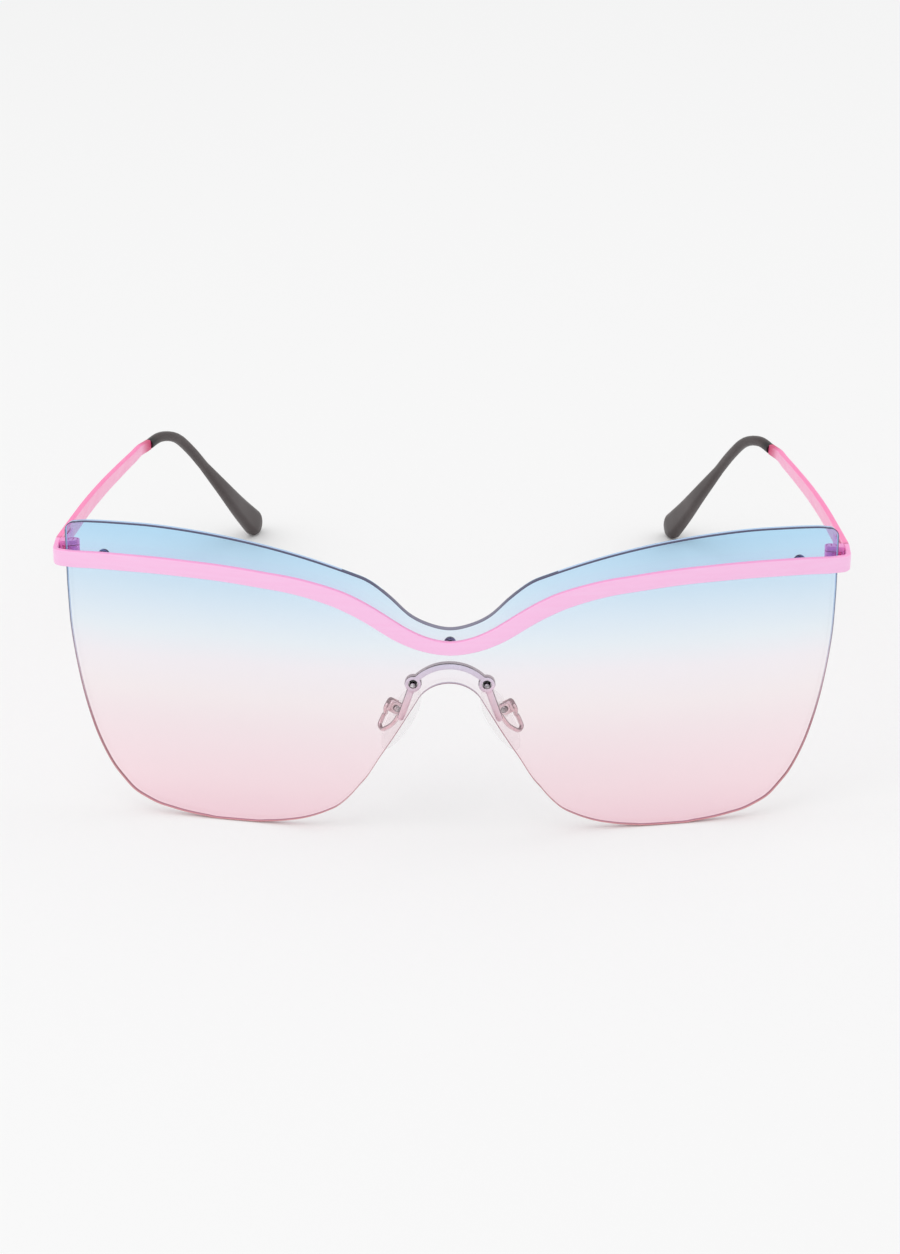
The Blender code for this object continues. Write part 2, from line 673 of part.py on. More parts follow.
def make_brow_fixings(parent):
    """Make the three studs that hold the lens to the bar, with their washers and dome nuts."""
    washer_depth = LENS_THICKNESS + FIT_GAP
    nut_depth = washer_depth + WASHER_THICKNESS + FIT_GAP
    bore_radius = STUD_RADIUS + FIT_GAP
    bore_depth = NUT_HEIGHT * 0.6
    stud_end = nut_depth + bore_depth - FIT_GAP
    stud_start = -SEAT_GAP + FIT_GAP
    rim = NUT_HEIGHT * 0.35
    nut = [(0.0, bore_depth), (bore_radius, bore_depth), (bore_radius, 0.0), (NUT_RADIUS, 0.0)]
    for k in range(6):
        turn = math.radians(90.0 * k / 6.0)
        dome = (NUT_HEIGHT - rim) * math.sin(turn)
        nut.append((NUT_RADIUS * math.cos(turn), rim + dome))
    nut.append((0.0, NUT_HEIGHT))
    washer = [
        (bore_radius, 0.0), (NUT_RADIUS, 0.0),
        (NUT_RADIUS, WASHER_THICKNESS), (bore_radius, WASHER_THICKNESS),
    ]
    for name, x in (("left", -FIXING_OFFSET), ("center", 0.0), ("right", FIXING_OFFSET)):
        level = brow_level(x) - FIXING_DROP
        stud = rod(STUD_RADIUS, stud_start, stud_end, SMALL_ROUND_SEGMENTS)
        place(f"brow_stud_{name}", mesh_of("stud", *stud), parent, "steel",
              lens_matrix(x, level, 0.0))
        ring = turned_ring(washer, ROUND_SEGMENTS)
        place(f"brow_washer_{name}", mesh_of("washer", *ring), parent, "clear",
              lens_matrix(x, level, washer_depth))
        place(f"brow_nut_{name}", mesh_of("nut", *turned(nut, ROUND_SEGMENTS)), parent, "steel",
              lens_matrix(x, level, nut_depth))


# Nose bridge

def bridge_band():
    """Return the bridge's right half as stations: place across, level, half width."""
    arch_sweep = math.asin(EYE_OFFSET / BRIDGE_ARCH_RADIUS)
    stations = []
    steps = 10
    for k in range(steps + 1):
        turn = arch_sweep * k / steps
        x = BRIDGE_ARCH_RADIUS * math.sin(turn)
        z = BRIDGE_CENTRE_LEVEL + BRIDGE_ARCH_RADIUS * math.cos(turn)
        stations.append((x, z, BRIDGE_BAND_WIDTH / 2.0))
    leg = math.hypot(LEG_SPREAD, LEG_DROP)
    end_radius = LEG_WIDTH / 2.0
    steps = 6
    for k in range(1, steps + 1):
        share = k / steps
        x = EYE_OFFSET + LEG_SPREAD * share
        stations.append((x, EYE_LEVEL - LEG_DROP * share, end_radius))
    for k in range(1, 6):
        turn = math.radians(15.0 * k)
        share = 1.0 + end_radius * math.sin(turn) / leg
        x = EYE_OFFSET + LEG_SPREAD * share
        stations.append((x, EYE_LEVEL - LEG_DROP * share, end_radius * math.cos(turn)))
    return stations


def make_nose_bridge(parent):
    """Make the arched bridge behind the lens, with an eye and a leg on each side."""
    half = bridge_band()
    line = [(-x, z, w) for x, z, w in reversed(half[1:])] + half
    front = BRIDGE_DEPTH
    back = BRIDGE_DEPTH + BRIDGE_THICKNESS
    rings = []
    for i, (x, z, w) in enumerate(line):
        before = line[max(i - 1, 0)]
        after = line[min(i + 1, len(line) - 1)]
        along = Vector((after[0] - before[0], after[1] - before[1])).normalized()
        side = Vector((-along.y, along.x)) * w
        rings.append([
            on_lens(x + side.x, z + side.y, front), on_lens(x - side.x, z - side.y, front),
            on_lens(x - side.x, z - side.y, back), on_lens(x + side.x, z + side.y, back),
        ])
    eyes = []
    for x in (-EYE_OFFSET, EYE_OFFSET):
        eye = mesh_of("eye", *rod(EYE_RADIUS, front, back, ROUND_SEGMENTS))
        eye.transform(lens_matrix(x, EYE_LEVEL, 0.0))
        eyes.append(eye)
    mesh = joined("bridge_union", mesh_of("bridge_band", *loft(rings)), eyes, "UNION")
    drills = [drill("eye_hole", x, EYE_LEVEL, PIN_RADIUS + FIT_GAP) for x in (-EYE_OFFSET, EYE_OFFSET)]
    mesh = joined("bridge_mesh", mesh, drills, "DIFFERENCE")
    place("nose_bridge", mesh, parent, "silver")


def make_bridge_pins(parent):
    """Make the two domed pins that hold the bridge to the lens, in their clear sleeves."""
    back = BRIDGE_DEPTH + BRIDGE_THICKNESS
    pin = [(0.0, PIN_RECESS - PIN_DOME)]
    for k in range(1, 4):
        turn = math.radians(90.0 * k / 4.0)
        pin.append((PIN_RADIUS * math.sin(turn), PIN_RECESS - PIN_DOME * math.cos(turn)))
    pin += [(PIN_RADIUS, PIN_RECESS), (PIN_RADIUS, back), (0.0, back)]
    inner = PIN_RADIUS + FIT_GAP
    outer = inner + SLEEVE_WALL
    sleeve = [(inner, 0.0), (outer, 0.0), (outer, LENS_THICKNESS), (inner, LENS_THICKNESS)]
    for name, side in SIDES.items():
        matrix = lens_matrix(side * EYE_OFFSET, EYE_LEVEL, 0.0)
        place(f"bridge_pin_{name}", mesh_of("pin", *turned(pin, SMALL_ROUND_SEGMENTS)), parent,
              "steel", matrix)
        ring = turned_ring(sleeve, SMALL_ROUND_SEGMENTS)
        place(f"bridge_sleeve_{name}", mesh_of("sleeve", *ring), parent, "clear", matrix)


# Pad arms and pads

ARM_START_DEPTH = BRIDGE_DEPTH + BRIDGE_THICKNESS + FIT_GAP + ARM_WIRE_RADIUS


def pad_matrix():
    """Return the pad's placement on the right: X across its face, Y out of its face, Z up its length."""
    lean = math.radians(PAD_LEAN_DEG)
    splay = math.radians(PAD_SPLAY_DEG)
    width_way = ACROSS * math.sin(splay) - LENS_FRONT * math.cos(splay)
    up = (LENS_UP * math.cos(lean) - ACROSS * math.sin(lean)).normalized()
    up = (up - width_way * up.dot(width_way)).normalized()
    face = up.cross(width_way)
    turn = Matrix((width_way, face, up)).transposed().to_4x4()
    return Matrix.Translation(on_lens(PAD_BOX_OFFSET, PAD_BOX_LEVEL, PAD_BOX_DEPTH)) @ turn


def mirror_matrix(matrix, side):
    """Return a placement for the given side; a shape on the left is mirrored across its face."""
    if side > 0.0:
        return matrix
    flip = Matrix.Scale(-1.0, 4, ACROSS)
    return flip @ matrix @ flip


def tube(points, radius, segments):
    """Return vertices and faces of a wire along points."""
    rings = []
    across = Vector((0.0, 1.0, 0.0))
    for i, p in enumerate(points):
        along = (points[min(i + 1, len(points) - 1)] - points[max(i - 1, 0)]).normalized()
        across = (across - along * across.dot(along)).normalized()
        up = along.cross(across)
        ring = []
        for k in range(segments):
            turn = 2.0 * math.pi * k / segments
            ring.append(p + across * (radius * math.cos(turn)) + up * (radius * math.sin(turn)))
        rings.append(ring)
    return loft(rings)


def make_pad_mounts(parent):
    """Make each pad arm with its box, the pad's screw, and the pad with its lug."""
    box_half = PAD_BOX_WIDTH / 2.0
    inner_half = LUG_THICKNESS / 2.0 + FIT_GAP
    cheek_half = inner_half + PAD_BOX_WALL
    box_back = -(LUG_RADIUS + SEAT_GAP + PAD_BOX_WALL)
    box_front = LUG_RADIUS
    placement = pad_matrix()
    for name, side in SIDES.items():
        route = []
        for share in PAD_ARM_LEG_SHARES:
            x = EYE_OFFSET + LEG_SPREAD * share
            route.append(on_lens(x, EYE_LEVEL - LEG_DROP * share, ARM_START_DEPTH))
        for share in PAD_ARM_LOOP_SHARES:
            route.append(placement @ (Vector(share) * PAD_ARM_DROP))
        entry = box_back + PAD_BOX_WALL - ARM_WIRE_RADIUS
        route.append(placement @ Vector((0.0, entry, -box_half + ARM_WIRE_RADIUS)))
        route.append(placement @ Vector((0.0, entry, 0.0)))
        wire = tube(through(route, 3), ARM_WIRE_RADIUS, 8)
        rings = []
        for y, shrink in ((box_front, 1.0), (box_back + PAD_BOX_WALL, 1.0), (box_back, 0.72)):
            section = rounded_section(
                2.0 * cheek_half * shrink, PAD_BOX_WIDTH * shrink, cheek_half * 0.7 * shrink, 3)
            rings.append([Vector((x, y, z)) for x, z in section])
        box_mesh = mesh_of("box", *loft(rings))
        slot = block((-inner_half, box_back + PAD_BOX_WALL, -box_half - CUT_OVERRUN),
                     (inner_half, box_front + CUT_OVERRUN, box_half + CUT_OVERRUN))
        bore = mesh_of("bore", *rod(PAD_SCREW_RADIUS + FIT_GAP, -cheek_half - CUT_OVERRUN,
                                    cheek_half + CUT_OVERRUN, SMALL_ROUND_SEGMENTS))
        bore.transform(Matrix.Rotation(math.pi / 2.0, 4, "Y"))
        box_mesh = joined("box_cut", box_mesh, [mesh_of("slot", *slot), bore], "DIFFERENCE")
        box_mesh.transform(placement)
        arm = joined("arm", mesh_of("wire", *wire), [box_mesh], "UNION")
        arm = mesh_of("arm_mesh", mirrored([v.co for v in arm.vertices], side),
                      [tuple(p.vertices) for p in arm.polygons])
        place(f"pad_arm_{name}", arm, parent, "silver")

        at = mirror_matrix(placement, side)
        pivot = empty(f"nose_pad_{name}_pivot", parent, at)
        head = cheek_half + PAD_SCREW_HEAD_HEIGHT + FIT_GAP
        screw = [(0.0, -cheek_half), (PAD_SCREW_RADIUS, -cheek_half),
                 (PAD_SCREW_RADIUS, cheek_half + FIT_GAP),
                 (PAD_SCREW_HEAD_RADIUS, cheek_half + FIT_GAP),
                 (PAD_SCREW_HEAD_RADIUS, head - PAD_SCREW_HEAD_HEIGHT * 0.4),
                 (PAD_SCREW_HEAD_RADIUS * 0.6, head), (0.0, head)]
        screw_mesh = mesh_of("pad_screw", *turned(screw, SMALL_ROUND_SEGMENTS))
        screw_mesh.transform(Matrix.Rotation(-math.pi / 2.0, 4, "Y"))
        screw_mesh = mesh_of("pad_screw", mirrored([v.co for v in screw_mesh.vertices], side),
                             [tuple(p.vertices) for p in screw_mesh.polygons])
        place(f"pad_screw_{name}", screw_mesh, parent, "steel", at)
        make_pad(name, side, pivot, box_front)


def make_pad(name, side, pivot, box_front):
    """Make one pad: a soft oval on a stiff flange whose lug sits in the pad box."""
    flange_back = box_front + SEAT_GAP
    flange_front = flange_back + PAD_FLANGE_THICKNESS
    lug_half = LUG_THICKNESS / 2.0
    tongue = []
    for k in range(9):
        turn = math.radians(180.0 + 180.0 * k / 8.0)
        tongue.append((LUG_RADIUS * math.cos(turn), LUG_RADIUS * math.sin(turn)))
    tongue += [(LUG_RADIUS, flange_back + PAD_FLANGE_THICKNESS / 2.0),
               (-LUG_RADIUS, flange_back + PAD_FLANGE_THICKNESS / 2.0)]
    rings = []
    for x in (-lug_half, lug_half):
        rings.append([Vector((x, y, z)) for z, y in tongue])
    lug = mesh_of("lug", *loft(rings))
    disc = mesh_of("disc", *rod(PAD_FLANGE_RADIUS, flange_back, flange_front, ROUND_SEGMENTS))
    disc.transform(Matrix.Rotation(-math.pi / 2.0, 4, "X"))
    eye = mesh_of("eye", *rod(PAD_SCREW_RADIUS + FIT_GAP, -lug_half - CUT_OVERRUN,
                              lug_half + CUT_OVERRUN, SMALL_ROUND_SEGMENTS))
    eye.transform(Matrix.Rotation(math.pi / 2.0, 4, "Y"))
    lug = joined("lug_cut", lug, [eye], "DIFFERENCE")
    plate = joined("plate", lug, [disc], "UNION")
    plate = mesh_of("plate_mesh", mirrored([v.co for v in plate.vertices], side),
                    [tuple(p.vertices) for p in plate.polygons])
    place(f"pad_plate_{name}", plate, pivot, "clear")

    pad_back = flange_front + FIT_GAP
    rings = []
    levels = 9
    for k in range(levels):
        share = k / (levels - 1)
        y = pad_back + PAD_THICKNESS * share
        swell = math.sqrt(max(1.0 - (2.0 * share - 0.8) ** 2 / 1.5, 0.02))
        ring = []
        for j in range(ROUND_SEGMENTS):
            turn = 2.0 * math.pi * j / ROUND_SEGMENTS
            length = PAD_LENGTH * PAD_RISE_SHARE if math.sin(turn) > 0 else PAD_LENGTH * (1.0 - PAD_RISE_SHARE)
            ring.append(Vector((PAD_WIDTH / 2.0 * swell * math.cos(turn), y,
                                length * swell * math.sin(turn))))
        rings.append(ring)
    pad = loft(rings)
    place(f"nose_pad_{name}", mesh_of("pad", mirrored(pad[0], side), pad[1]), pivot, "silicone")


# Hinges

KNUCKLE_HEIGHT = (BARREL_HEIGHT - 2.0 * KNUCKLE_GAP) / 3.0
MIDDLE_HALF = KNUCKLE_HEIGHT / 2.0
HEAD_SEAT_DEPTH = HINGE_SCREW_HEAD_HEIGHT + FIT_GAP
LEAF_OUTER_X = RETURN_FACE_X - FIT_GAP
LEAF_INNER_X = LEAF_OUTER_X - LEAF_THICKNESS
TEMPLE_LEAF_OUTER_X = TEMPLE_LINE[0].x - TEMPLE_THICKNESS / 2.0 - SEAT_GAP


def plate_of(name, outline, low, high):
    """Return a mesh that is a flat outline raised from one level to another."""
    rings = []
    for z in (low, high):
        rings.append([Vector((x, y, z)) for x, y in outline])
    return mesh_of(name, *loft(rings))


def knuckle(low, high):
    """Return one knuckle of the barrel."""
    return mesh_of("knuckle", *rod(BARREL_RADIUS, low, high, ROUND_SEGMENTS))


def make_hinge(name, side, front, temple):
    """Make one three-knuckle hinge and its screw."""
    half = BARREL_HEIGHT / 2.0
    front_leaf = [
        (0.0, -BARREL_RADIUS), (LEAF_OUTER_X, -BARREL_RADIUS - SEAT_GAP),
        (LEAF_OUTER_X, RETURN_END_Y - SEAT_GAP), (LEAF_INNER_X, RETURN_END_Y - SEAT_GAP),
        (0.0, 0.0),
    ]
    body = joined("front_hinge", knuckle(-half, half), [plate_of("leaf", front_leaf, -half, half)],
                  "UNION")
    gap_half = MIDDLE_HALF + KNUCKLE_GAP
    clear_x = LEAF_INNER_X + LEAF_THICKNESS / 2.0
    slot = block((-BARREL_RADIUS - CUT_OVERRUN, -BARREL_RADIUS - CUT_OVERRUN, -gap_half),
                 (clear_x, RETURN_END_Y + CUT_OVERRUN, gap_half))
    bore = mesh_of("bore", *rod(HINGE_SCREW_RADIUS + FIT_GAP, -half - CUT_OVERRUN,
                                half + CUT_OVERRUN, SMALL_ROUND_SEGMENTS))
    seat = mesh_of("seat", *rod(HINGE_SCREW_HEAD_RADIUS + FIT_GAP, half - HEAD_SEAT_DEPTH,
                                half + CUT_OVERRUN, ROUND_SEGMENTS))
    body = joined("front_cut", body, [mesh_of("slot", *slot), bore, seat], "DIFFERENCE")
    place_side(f"hinge_front_{name}", body, side, front, "pink")

    neck_y = RETURN_END_Y + FIT_GAP
    neck = [
        (0.0, -BARREL_RADIUS * 0.2), (BARREL_RADIUS * 0.9, BARREL_RADIUS * 0.2),
        (LEAF_INNER_X - FIT_GAP, neck_y), (TEMPLE_LEAF_OUTER_X, neck_y + LEAF_THICKNESS),
        (LEAF_INNER_X, neck_y + 2.0 * LEAF_THICKNESS), (0.0, BARREL_RADIUS * 0.9),
    ]
    slant = TEMPLE_LINE[0].x - temple_station(TEMPLE_START + TEMPLE_LEAF_LENGTH)[0].x
    leaf = [
        (LEAF_INNER_X, neck_y + SEAT_GAP), (TEMPLE_LEAF_OUTER_X, neck_y + SEAT_GAP),
        (TEMPLE_LEAF_OUTER_X - slant, neck_y + TEMPLE_LEAF_LENGTH),
        (LEAF_INNER_X - slant + LEAF_THICKNESS / 2.0, neck_y + TEMPLE_LEAF_LENGTH),
    ]
    leaf_half = TEMPLE_LEAF_HEIGHT / 2.0
    parts = [plate_of("neck", neck, -MIDDLE_HALF, MIDDLE_HALF),
             plate_of("leaf", leaf, -leaf_half, leaf_half)]
    body = joined("temple_hinge", knuckle(-MIDDLE_HALF, MIDDLE_HALF), parts, "UNION")
    bore = mesh_of("bore", *rod(HINGE_SCREW_RADIUS + FIT_GAP, -half - CUT_OVERRUN,
                                half + CUT_OVERRUN, SMALL_ROUND_SEGMENTS))
    body = joined("temple_cut", body, [bore], "DIFFERENCE")
    place_side(f"hinge_temple_{name}", body, side, temple, "pink")

    head_low = half - HINGE_SCREW_HEAD_HEIGHT
    head_high = half
    screw = [(0.0, -half), (HINGE_SCREW_RADIUS, -half), (HINGE_SCREW_RADIUS, head_low),
             (HINGE_SCREW_HEAD_RADIUS, head_low), (HINGE_SCREW_HEAD_RADIUS, head_high),
             (0.0, head_high)]
    body = mesh_of("screw", *turned(screw, SMALL_ROUND_SEGMENTS))
    groove = block((-SLOT_WIDTH / 2.0, -HINGE_SCREW_HEAD_RADIUS - CUT_OVERRUN, head_high - SLOT_DEPTH),
                   (SLOT_WIDTH / 2.0, HINGE_SCREW_HEAD_RADIUS + CUT_OVERRUN, head_high + CUT_OVERRUN))
    body = joined("screw_cut", body, [mesh_of("groove", *groove)], "DIFFERENCE")
    place_side(f"hinge_screw_{name}", body, side, front, "pink")


def place_side(name, mesh, side, parent, look):
    """Place a mesh made for the right-hand side under its parent, on the given side."""
    points = [v.co + LEVEL_UP * BARREL_RISE for v in mesh.vertices]
    turned_mesh = mesh_of(f"{name}_mesh", mirrored(points, side),
                          [tuple(p.vertices) for p in mesh.polygons])
    return place(name, turned_mesh, parent, look)


# Temples

TEMPLE_START = RETURN_END_Y + SEAT_GAP
CORE_END = TEMPLE_REACH - CORE_END_GAP


def make_temple(name, side, pivot):
    """Make one flat metal temple, with the round core that runs on inside its tip."""
    rings = []
    steps = 22
    for k in range(steps + 1):
        share = k / steps
        reach = TEMPLE_START + (TEMPLE_JUNCTION - FIT_GAP - TEMPLE_START) * share
        centre, across, up = temple_station(reach)
        if k == 0:
            across, up = ACROSS, LEVEL_UP
        height = TEMPLE_HEIGHT + (TEMPLE_END_HEIGHT - TEMPLE_HEIGHT) * share
        section = rounded_section(TEMPLE_THICKNESS, height, TEMPLE_EDGE_RADIUS, 2)
        rings.append(section_ring(centre, across, up, section))
    core = rounded_section(2.0 * CORE_RADIUS, 2.0 * CORE_RADIUS, CORE_RADIUS * 0.999, 2)
    steps = 16
    for k in range(steps + 1):
        reach = TEMPLE_JUNCTION - FIT_GAP + (CORE_END - TEMPLE_JUNCTION + FIT_GAP) * k / steps
        centre, across, up = temple_station(reach)
        rings.append(section_ring(centre, across, up, core))
    vertices, faces = loft(rings)
    place(f"temple_{name}", mesh_of("temple", mirrored(vertices, side), faces), pivot, "pink")


def make_tip(name, side, pivot):
    """Make one soft tip: a sleeve over the temple's core that widens to a rounded paddle."""
    bore_radius = CORE_RADIUS + FIT_GAP
    bore = rounded_section(2.0 * bore_radius, 2.0 * bore_radius, bore_radius * 0.999, 3)
    inner = []
    steps = 16
    for k in range(steps + 1):
        reach = TEMPLE_JUNCTION + (CORE_END + SEAT_GAP - TEMPLE_JUNCTION) * k / steps
        centre, across, up = temple_station(reach)
        inner.append(section_ring(centre, across, up, bore))
    vertices, faces = loft(list(reversed(tip_rings())) + inner)
    place(f"temple_tip_{name}", mesh_of("tip", mirrored(vertices, side), faces), pivot, "grey")


def set_on_table(root):
    """Move the whole object so that the origin is at the bottom centre of its box."""
    bpy.context.view_layer.update()
    corners = []
    for item in bpy.data.objects:
        if item.type == "MESH":
            corners += [item.matrix_world @ v.co for v in item.data.vertices]
    low = [min(c[k] for c in corners) for k in range(3)]
    high = [max(c[k] for c in corners) for k in range(3)]
    root.location = (
        -(low[0] + high[0]) / 2.0,
        -(low[1] + high[1]) / 2.0,
        -low[2],
    )
    bpy.context.view_layer.update()


def main():
    """Build the sunglasses."""
    clear_scene()
    root = empty("sunglasses", None, Matrix.Identity(4))
    make_lens(root)
    make_brow_bar(root)
    make_brow_fixings(root)
    make_nose_bridge(root)
    make_bridge_pins(root)
    make_pad_mounts(root)
    for name, side in SIDES.items():
        at = hinge_matrix(side)
        front = empty(f"hinge_{name}_seat", root, at)
        pivot = empty(f"temple_{name}_pivot", root, at)
        make_hinge(name, side, front, pivot)
        make_temple(name, side, pivot)
        make_tip(name, side, pivot)
    set_on_table(root)
    for item in bpy.data.objects:
        if item.type == "EMPTY":
            where = ", ".join(f"{value:.6f}" for value in item.matrix_world.translation)
            up = ", ".join(f"{value:.6f}" for value in item.matrix_world.col[2][:3])
            across = ", ".join(f"{value:.6f}" for value in item.matrix_world.col[0][:3])
            print(f"{item.name}: at {where}; up {up}; across {across}")


main()
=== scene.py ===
"""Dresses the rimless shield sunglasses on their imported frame, and sets them in a plain pale studio.

Units are metres. +X is the viewer's right, the front faces -Y and +Z is up. Each sub-assembly is a
class that holds its own sizes, builds its meshes and gives them their finishes.
"""

import json
import logging
import math
from dataclasses import dataclass, field
from enum import Enum, IntEnum

import bmesh
import bpy
from mathutils import Matrix, Vector
from mathutils.geometry import delaunay_2d_cdt


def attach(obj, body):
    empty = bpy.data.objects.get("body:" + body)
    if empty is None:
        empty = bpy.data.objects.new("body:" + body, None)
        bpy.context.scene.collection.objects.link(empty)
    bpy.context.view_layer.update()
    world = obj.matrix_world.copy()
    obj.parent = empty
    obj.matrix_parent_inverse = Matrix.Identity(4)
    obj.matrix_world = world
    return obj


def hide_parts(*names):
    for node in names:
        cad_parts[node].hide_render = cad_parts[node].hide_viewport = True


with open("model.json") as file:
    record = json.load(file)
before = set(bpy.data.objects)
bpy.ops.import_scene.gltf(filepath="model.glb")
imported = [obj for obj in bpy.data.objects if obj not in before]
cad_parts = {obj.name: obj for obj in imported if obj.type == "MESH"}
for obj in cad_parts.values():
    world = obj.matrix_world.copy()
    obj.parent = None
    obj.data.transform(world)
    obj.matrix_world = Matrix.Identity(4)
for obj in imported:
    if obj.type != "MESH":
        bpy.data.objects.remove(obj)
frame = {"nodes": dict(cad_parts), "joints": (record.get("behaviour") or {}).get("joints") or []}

LOG = logging.getLogger("shield_sunglasses")

ACROSS = Vector((1.0, 0.0, 0.0))
LEVEL_BACK = Vector((0.0, 1.0, 0.0))
LEVEL_UP = Vector((0.0, 0.0, 1.0))

# How many pieces the circle of a round piece is cut into
FINE_ROUND = 48
PLAIN_ROUND = 32
SMALL_ROUND = 24
WIRE_ROUND = 16

# Nearly all of a noise pattern lies between these two values
NOISE_LOW, NOISE_HIGH = 0.3, 0.7
NOISE_ROUGHNESS = 0.55

# How steeply a clear surface's mirroring rises towards a grazing angle
GRAZING_POWER = 5.0

Skin = tuple[list[Vector], list[tuple[int, ...]]]
Colour = tuple[float, float, float]
Stretch = tuple[float, float, float]
Socket = bpy.types.NodeSocket

WHITE: Colour = (1.0, 1.0, 1.0)


class Side(Enum):
    """A side of the glasses, as the viewer sees them from the front."""

    LEFT = -1.0
    RIGHT = 1.0

    @property
    def word(self) -> str:
        """Return the side's name as it stands in node names."""
        return self.name.lower()


class Body(Enum):
    """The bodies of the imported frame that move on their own."""

    FRONT = "front"
    TEMPLE = "temple"
    PAD = "pad"

    def on(self, side: Side) -> str:
        """Return the body's name on a side of the glasses."""
        return self.value if self is Body.FRONT else f"{side.word}_{self.value}"


# Shapes


def turns(start_deg: float, end_deg: float, steps: int) -> list[float]:
    """Cut an arc into even steps.

    Args:
        start_deg: its first angle, in degrees.
        end_deg: its last angle, in degrees.
        steps: how many pieces it is cut into.

    Returns:
        The angles in radians, with both ends.
    """
    return [math.radians(start_deg + (end_deg - start_deg) * k / steps) for k in range(steps + 1)]


def through(points: list[Vector], steps: int) -> list[Vector]:
    """Run a smooth curve through points.

    Args:
        points: the points that the curve passes.
        steps: how many pieces each stretch is cut into.

    Returns:
        The points along the curve, from the first given point to the last.
    """
    padded = [points[0] * 2.0 - points[1]] + points + [points[-1] * 2.0 - points[-2]]
    line = []
    for i in range(1, len(padded) - 2):
        before, start, end, after = padded[i - 1:i + 3]
        for k in range(steps):
            t = k / steps
            line.append(0.5 * (
                2.0 * start + (end - before) * t
                + (2.0 * before - 5.0 * start + 4.0 * end - after) * t ** 2
                + (3.0 * start - before - 3.0 * end + after) * t ** 3
            ))
    line.append(points[-1].copy())
    return line


def share_between(table: list[tuple[float, float]], place: float) -> float:
    """Read a table of places and values at a place between its rows.

    Args:
        table: rows of a place and its value, in rising order of place.
        place: where to read it.

    Returns:
        The value there, on the straight line between the rows beside it.
    """
    for start, end in zip(table, table[1:]):
        if start[0] <= place <= end[0] and end[0] > start[0]:
            return start[1] + (end[1] - start[1]) * (place - start[0]) / (end[0] - start[0])
    return table[-1][1]


def rounded_section(width: float, height: float, radius: float, steps: int) -> list[Vector]:
    """Draw a rounded rectangle.

    Args:
        width: its size across.
        height: its size up.
        radius: the radius of its corners.
        steps: how many pieces each corner is cut into.

    Returns:
        Its points, with x across and y up.
    """
    points = []
    for across, up, start in ((1, 1, 0), (-1, 1, 90), (-1, -1, 180), (1, -1, 270)):
        for turn in turns(start, start + 90.0, steps):
            x = across * (width / 2.0 - radius) + radius * math.cos(turn)
            y = up * (height / 2.0 - radius) + radius * math.sin(turn)
            points.append(Vector((x, y)))
    return points


def ring_at(centre: Vector, across: Vector, up: Vector, section: list[Vector]) -> list[Vector]:
    """Set a flat section at a centre, on the two directions given."""
    return [centre + across * p.x + up * p.y for p in section]


def loft(rings: list[list[Vector]]) -> Skin:
    """Stretch a closed skin through rings of points.

    Args:
        rings: the sections, each with the same number of points.

    Returns:
        The points and faces of the skin, with a flat face at each end.
    """
    count = len(rings[0])
    points = [p for ring in rings for p in ring]
    faces = [tuple(range(count))]
    for row in range(len(rings) - 1):
        for k in range(count):
            a, b = row * count + k, row * count + (k + 1) % count
            faces.append((a, b, b + count, a + count))
    last = (len(rings) - 1) * count
    faces.append(tuple(last + k for k in reversed(range(count))))
    return points, faces


def turned(profile: list[tuple[float, float]], segments: int) -> Skin:
    """Turn a profile about Z into a solid.

    Args:
        profile: pairs of radius and height, the first and last of them on the axis.
        segments: how many pieces the circle is cut into.

    Returns:
        The points and faces of the solid.
    """
    points = [Vector((0.0, 0.0, profile[0][1]))]
    for radius, height in profile[1:-1]:
        for k in range(segments):
            turn = 2.0 * math.pi * k / segments
            points.append(Vector((radius * math.cos(turn), radius * math.sin(turn), height)))
    points.append(Vector((0.0, 0.0, profile[-1][1])))
    rows = len(profile) - 2
    last = 1 + (rows - 1) * segments
    faces = []
    for k in range(segments):
        j = (k + 1) % segments
        faces.append((0, 1 + j, 1 + k))
        for row in range(rows - 1):
            a = 1 + row * segments
            faces.append((a + k, a + j, a + segments + j, a + segments + k))
        faces.append((last + k, last + j, len(points) - 1))
    return points, faces


def rod(radius: float, low: float, high: float, segments: int, soften: float = 0.0) -> Skin:
    """Make a round bar about Z, with its end edges rounded off by soften.

    Args:
        radius: the bar's radius.
        low: the height of its lower end.
        high: the height of its upper end.
        segments: how many pieces the circle is cut into.
        soften: the radius of its end edges, or 0 to leave them sharp.

    Returns:
        The points and faces of the bar.
    """
    if soften <= 0.0:
        return turned([(0.0, low), (radius, low), (radius, high), (0.0, high)], segments)
    profile = [(0.0, low)]
    inner = radius - soften
    for turn in turns(0.0, 90.0, 3):
        profile.append((inner + soften * math.sin(turn), low + soften - soften * math.cos(turn)))
    for turn in turns(0.0, 90.0, 3):
        profile.append((inner + soften * math.cos(turn), high - soften + soften * math.sin(turn)))
    return turned(profile + [(0.0, high)], segments)


def tube(points: list[Vector], radius: float, segments: int) -> Skin:
    """Make a round wire along points.

    Args:
        points: the points that its middle passes.
        radius: its radius.
        segments: how many pieces the circle is cut into.

    Returns:
        The points and faces of the wire.
    """
    rings = []
    across = LEVEL_BACK.copy()
    for i, p in enumerate(points):
        along = (points[min(i + 1, len(points) - 1)] - points[max(i - 1, 0)]).normalized()
        across = (across - along * across.dot(along)).normalized()
        up = along.cross(across)
        circle = [2.0 * math.pi * k / segments for k in range(segments)]
        rings.append([p + across * (radius * math.cos(t)) + up * (radius * math.sin(t)) for t in circle])
    return loft(rings)


